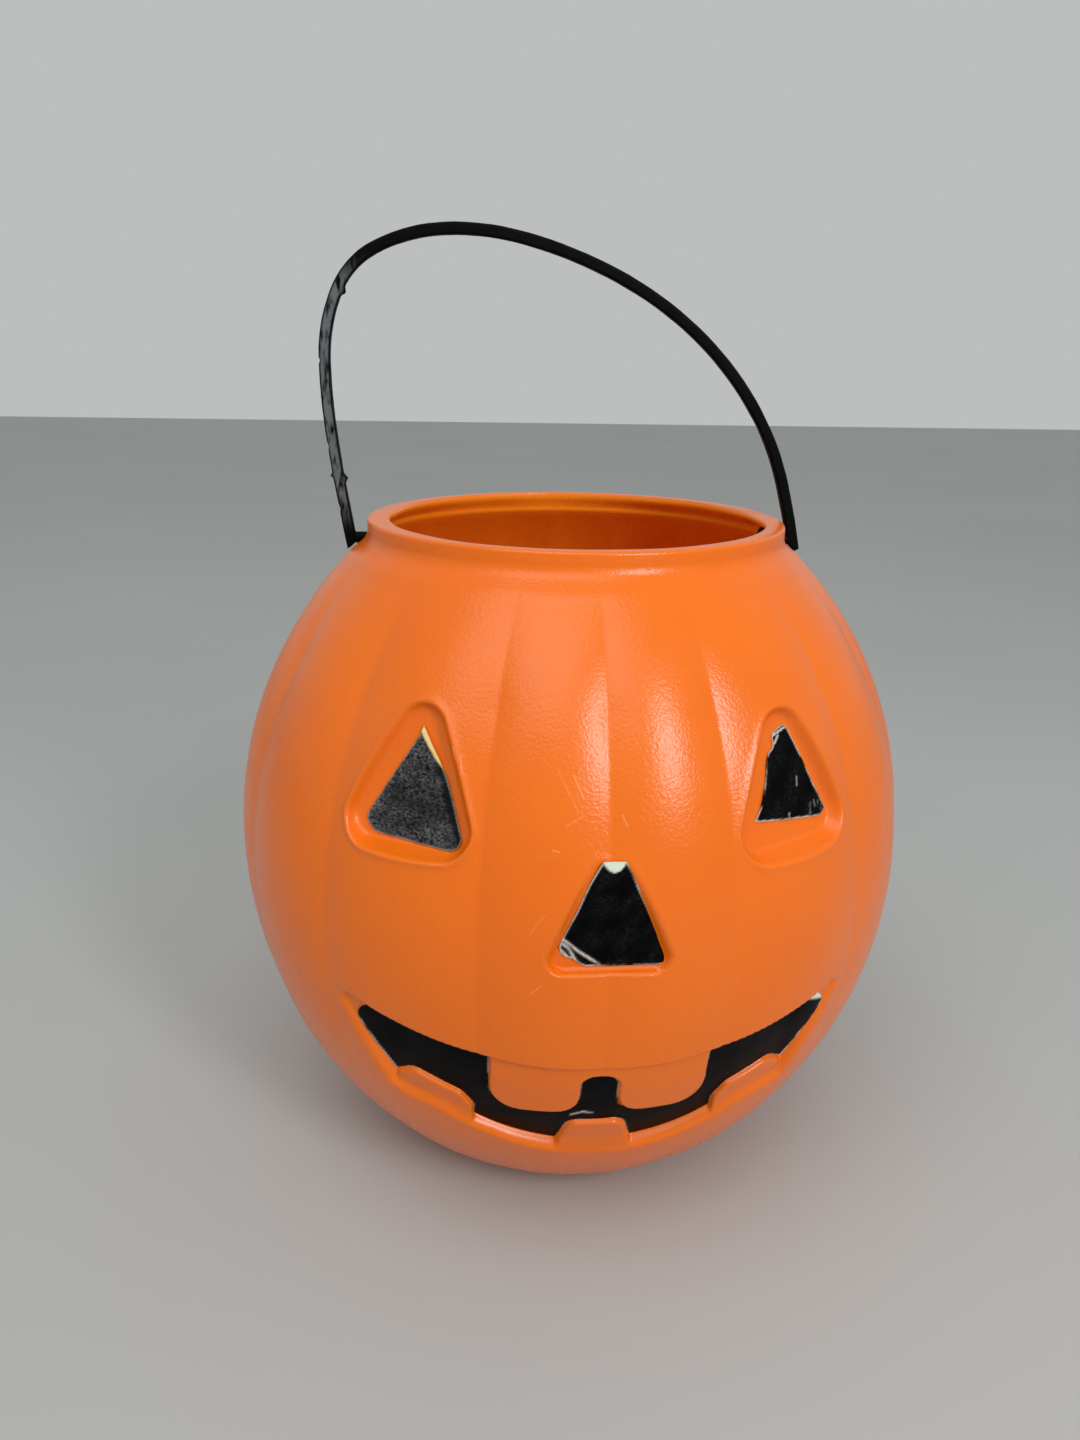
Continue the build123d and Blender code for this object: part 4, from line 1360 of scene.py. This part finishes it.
def orange_plastic():
    """Satin plastic with a stipple that is fainter low down, a few scratches, a parting line, and a
    painted glow of brighter orange inside.
    """
    material, tree, shader, place = new_material("orange_plastic")
    axes = node(tree, "ShaderNodeSeparateXYZ", {"Vector": place}).outputs
    side, level = axes["Y"], axes["Z"]
    tone = spread(tree, noise(tree, place, 22.0, 3.0), 0.3, 0.7)
    colour = mix_colour(tree, tone, ORANGE, BRIGHT_ORANGE)
    # Painted light: the inner faces are a brighter orange, as if lit through the wall.
    colour = mix_colour(tree, kept(tree, "inside"), colour, INSIDE_GLOW_ORANGE)
    face = spread(tree, side, -0.06, -0.05, 1.0, 0.0)
    for start, end, width, strength in FACE_SCRATCHES:
        mark = times(tree, scratch_mark(tree, place, start, end, width), face)
        colour = mix_colour(tree, times(tree, mark, strength), colour, SCRATCH_ORANGE)
    leather = node(tree, "ShaderNodeTexVoronoi", {"Vector": place, "Scale": 1250.0}, feature="SMOOTH_F1")
    grain = math_of(tree, "ADD", noise(tree, place, 1900.0, 3.0), leather.outputs["Distance"])
    grain = times(tree, grain, spread(tree, level, 0.05, 0.11, 0.25, 1.0))
    stippled = bump(tree, grain, 0.75, 0.00008)
    parting = spread(tree, math_of(tree, "ABSOLUTE", side), 0.0001, 0.0005, 1.0, 0.0)
    feed(tree, shader, {
        "Base Color": colour,
        "Roughness": spread(tree, noise(tree, place, 160.0, 3.0), 0.3, 0.7, 0.23, 0.29),
        "Normal": bump(tree, parting, 0.35, 0.0002, stippled),
        "Specular IOR Level": 0.45,
    })
    return material


def black_film(name, back, sheen, gloss, crinkle):
    """Black film with pale cut edges and creases, a pale back, and a painted grey sheen where it is
    crinkled.
    """
    material, tree, shader, place = new_material(name)
    leather = noise(tree, stretched(tree, place, (0.7, 1.0, 1.2)), 1500.0, 3.0)
    cloud = spread(tree, noise(tree, place, 220.0, 3.0), 0.3, 0.6, 0.4, 1.0)
    fibre = times(tree, spread(tree, leather, 0.35, 0.7), cloud)
    # Painted sheen: grey mixed into the black where the film is crinkled.
    sheen_share = times(tree, kept(tree, "sheen_share"), fibre)
    black = mix_colour(tree, sheen_share, FILM_BLACK, sheen)
    ragged = spread(tree, noise(tree, place, 150.0, 4.0), 0.36, 0.52)
    bare = times(tree, kept(tree, "bare"), ragged)
    edged = mix_colour(tree, bare, black, FILM_CUT)
    wrinkle = times(tree, leather, kept(tree, "sheen_share"))
    feed(tree, shader, {
        "Base Color": mix_colour(tree, kept(tree, "cream"), edged, back),
        "Roughness": spread(tree, sheen_share, 0.0, 1.0, 0.36, 0.46),
        "Normal": bump(tree, wrinkle, 0.9, crinkle),
        "Specular IOR Level": gloss,
    })
    return material


def black_strap():
    """Satin black flexible plastic, with a painted grey sheen on the front face of one leg."""
    material, tree, shader, place = new_material("black_strap")
    streak = noise(tree, stretched(tree, place, (1.0, 1.0, 0.25)), 700.0, 4.0)
    # Painted sheen: grey streaks on the marked leg face.
    sheen_level = times(tree, kept(tree, "sheen_share"), spread(tree, streak, 0.36, 0.52))
    feed(tree, shader, {
        "Base Color": mix_colour(tree, sheen_level, STRAP_BLACK, STRAP_SHEEN_GREY),
        "Roughness": spread(tree, noise(tree, place, 300.0, 3.0), 0.3, 0.7, 0.46, 0.6),
        "Normal": bump(tree, noise(tree, place, 900.0, 3.0), 0.3, 0.0002),
        "Specular IOR Level": 0.07,
    })
    return material


def dress(piece, material, body, node_name):
    piece.data.materials.clear()
    piece.data.materials.append(material)
    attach(piece, body)
    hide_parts(node_name)


orange = orange_plastic()
film_black = black_film("black_film", PALE_BACK, FILM_SHEEN, 0.04, 0.0004)
crinkled_black = black_film("crinkled_black_film", CREAM_BACK, CRINKLED_SHEEN, 0.2, 0.0005)
strap_black = black_strap()
dress(moulded_shell(), orange, "pail", "pail_shell")
dress(left_eye_film(), crinkled_black, "pail", "left_eye_decal")
dress(right_eye_film(), film_black, "pail", "right_eye_decal")
dress(nose_film(), film_black, "pail", "nose_decal")
dress(mouth_film(), film_black, "pail", "mouth_decal")
dress(strap_handle(), strap_black, "bail", "handle")


# Floor, light and camera.

FLOOR_SIZE = 8.0
FLOOR_GREY, FLOOR_LIGHT_GREY = srgb(176, 178, 177), srgb(180, 182, 181)
PALE_WALL = srgb(188, 191, 189)
CAMERA_NEAREST = 0.01
CAMERA_PLACE = (-0.03365, -0.30978, 0.2391)
CAMERA_AXES = ((0.99725, 0.00845, -0.07365), (-0.07235, 0.32751, -0.94207), (0.01616, 0.94481, 0.32722))
CAMERA_LENS = 26.0
CAMERA_SENSOR = 36.0
LIT_PLACE = (0.0, 0.0, 0.12)
# Name, direction, distance, width and height, and power of each light.
LIGHTS = (
    ("key_light", (0.424, -0.757, 0.492), 1.1, (0.2, 0.44), 4.6),
    ("top_light", (-0.25, -0.55, 1.0), 1.3, (1.0, 1.0), 6.0),
)


def pale_floor():
    deselect()
    bpy.ops.mesh.primitive_plane_add(size=FLOOR_SIZE)
    floor = new_piece("floor")
    material, tree, shader, place = new_material("pale_floor")
    shade = spread(tree, noise(tree, place, 3.0, 2.0), 0.3, 0.7)
    colour = mix_colour(tree, shade, FLOOR_GREY, FLOOR_LIGHT_GREY)
    feed(tree, shader, {"Base Color": colour, "Roughness": 0.7})
    floor.data.materials.append(material)


def area_light(name, direction, distance, size, power):
    """Light of the given width and height that faces the pail from a direction."""
    heading = np.array(direction) / np.linalg.norm(direction)
    place = np.array(LIT_PLACE) + heading * distance
    bpy.ops.object.light_add(type="AREA", location=tuple(place))
    lamp = bpy.context.object
    lamp.name = name
    lamp.data.shape = "RECTANGLE"
    lamp.data.size, lamp.data.size_y = size
    lamp.data.energy = power
    right = np.cross((0.0, 0.0, 1.0), heading)
    right /= np.linalg.norm(right)
    lamp.rotation_mode = "QUATERNION"
    axes = Matrix(tuple(zip(right, np.cross(heading, right), heading)))
    lamp.rotation_quaternion = axes.to_quaternion()


def studio():
    """Soft light from the front right and above, in pale surroundings."""
    deselect()
    for light in LIGHTS:
        area_light(*light)
    world = bpy.data.worlds.new("pale_room")
    world.use_nodes = True
    bpy.context.scene.world = world
    room = world.node_tree.nodes["Background"]
    room.inputs["Color"].default_value = PALE_WALL
    room.inputs["Strength"].default_value = 1.0


def photo_camera():
    """Camera at the photograph's viewpoint."""
    bpy.ops.object.camera_add()
    camera = bpy.context.object
    camera.name = "photo_camera"
    axes = Matrix(CAMERA_AXES).to_4x4()
    camera.matrix_world = Matrix.Translation(CAMERA_PLACE) @ axes
    camera.data.lens = CAMERA_LENS
    camera.data.sensor_fit = "VERTICAL"
    camera.data.sensor_height = CAMERA_SENSOR
    camera.data.clip_start = CAMERA_NEAREST
    bpy.context.scene.camera = camera


pale_floor()
studio()
photo_camera()
bpy.context.scene.view_settings.view_transform = "Standard"
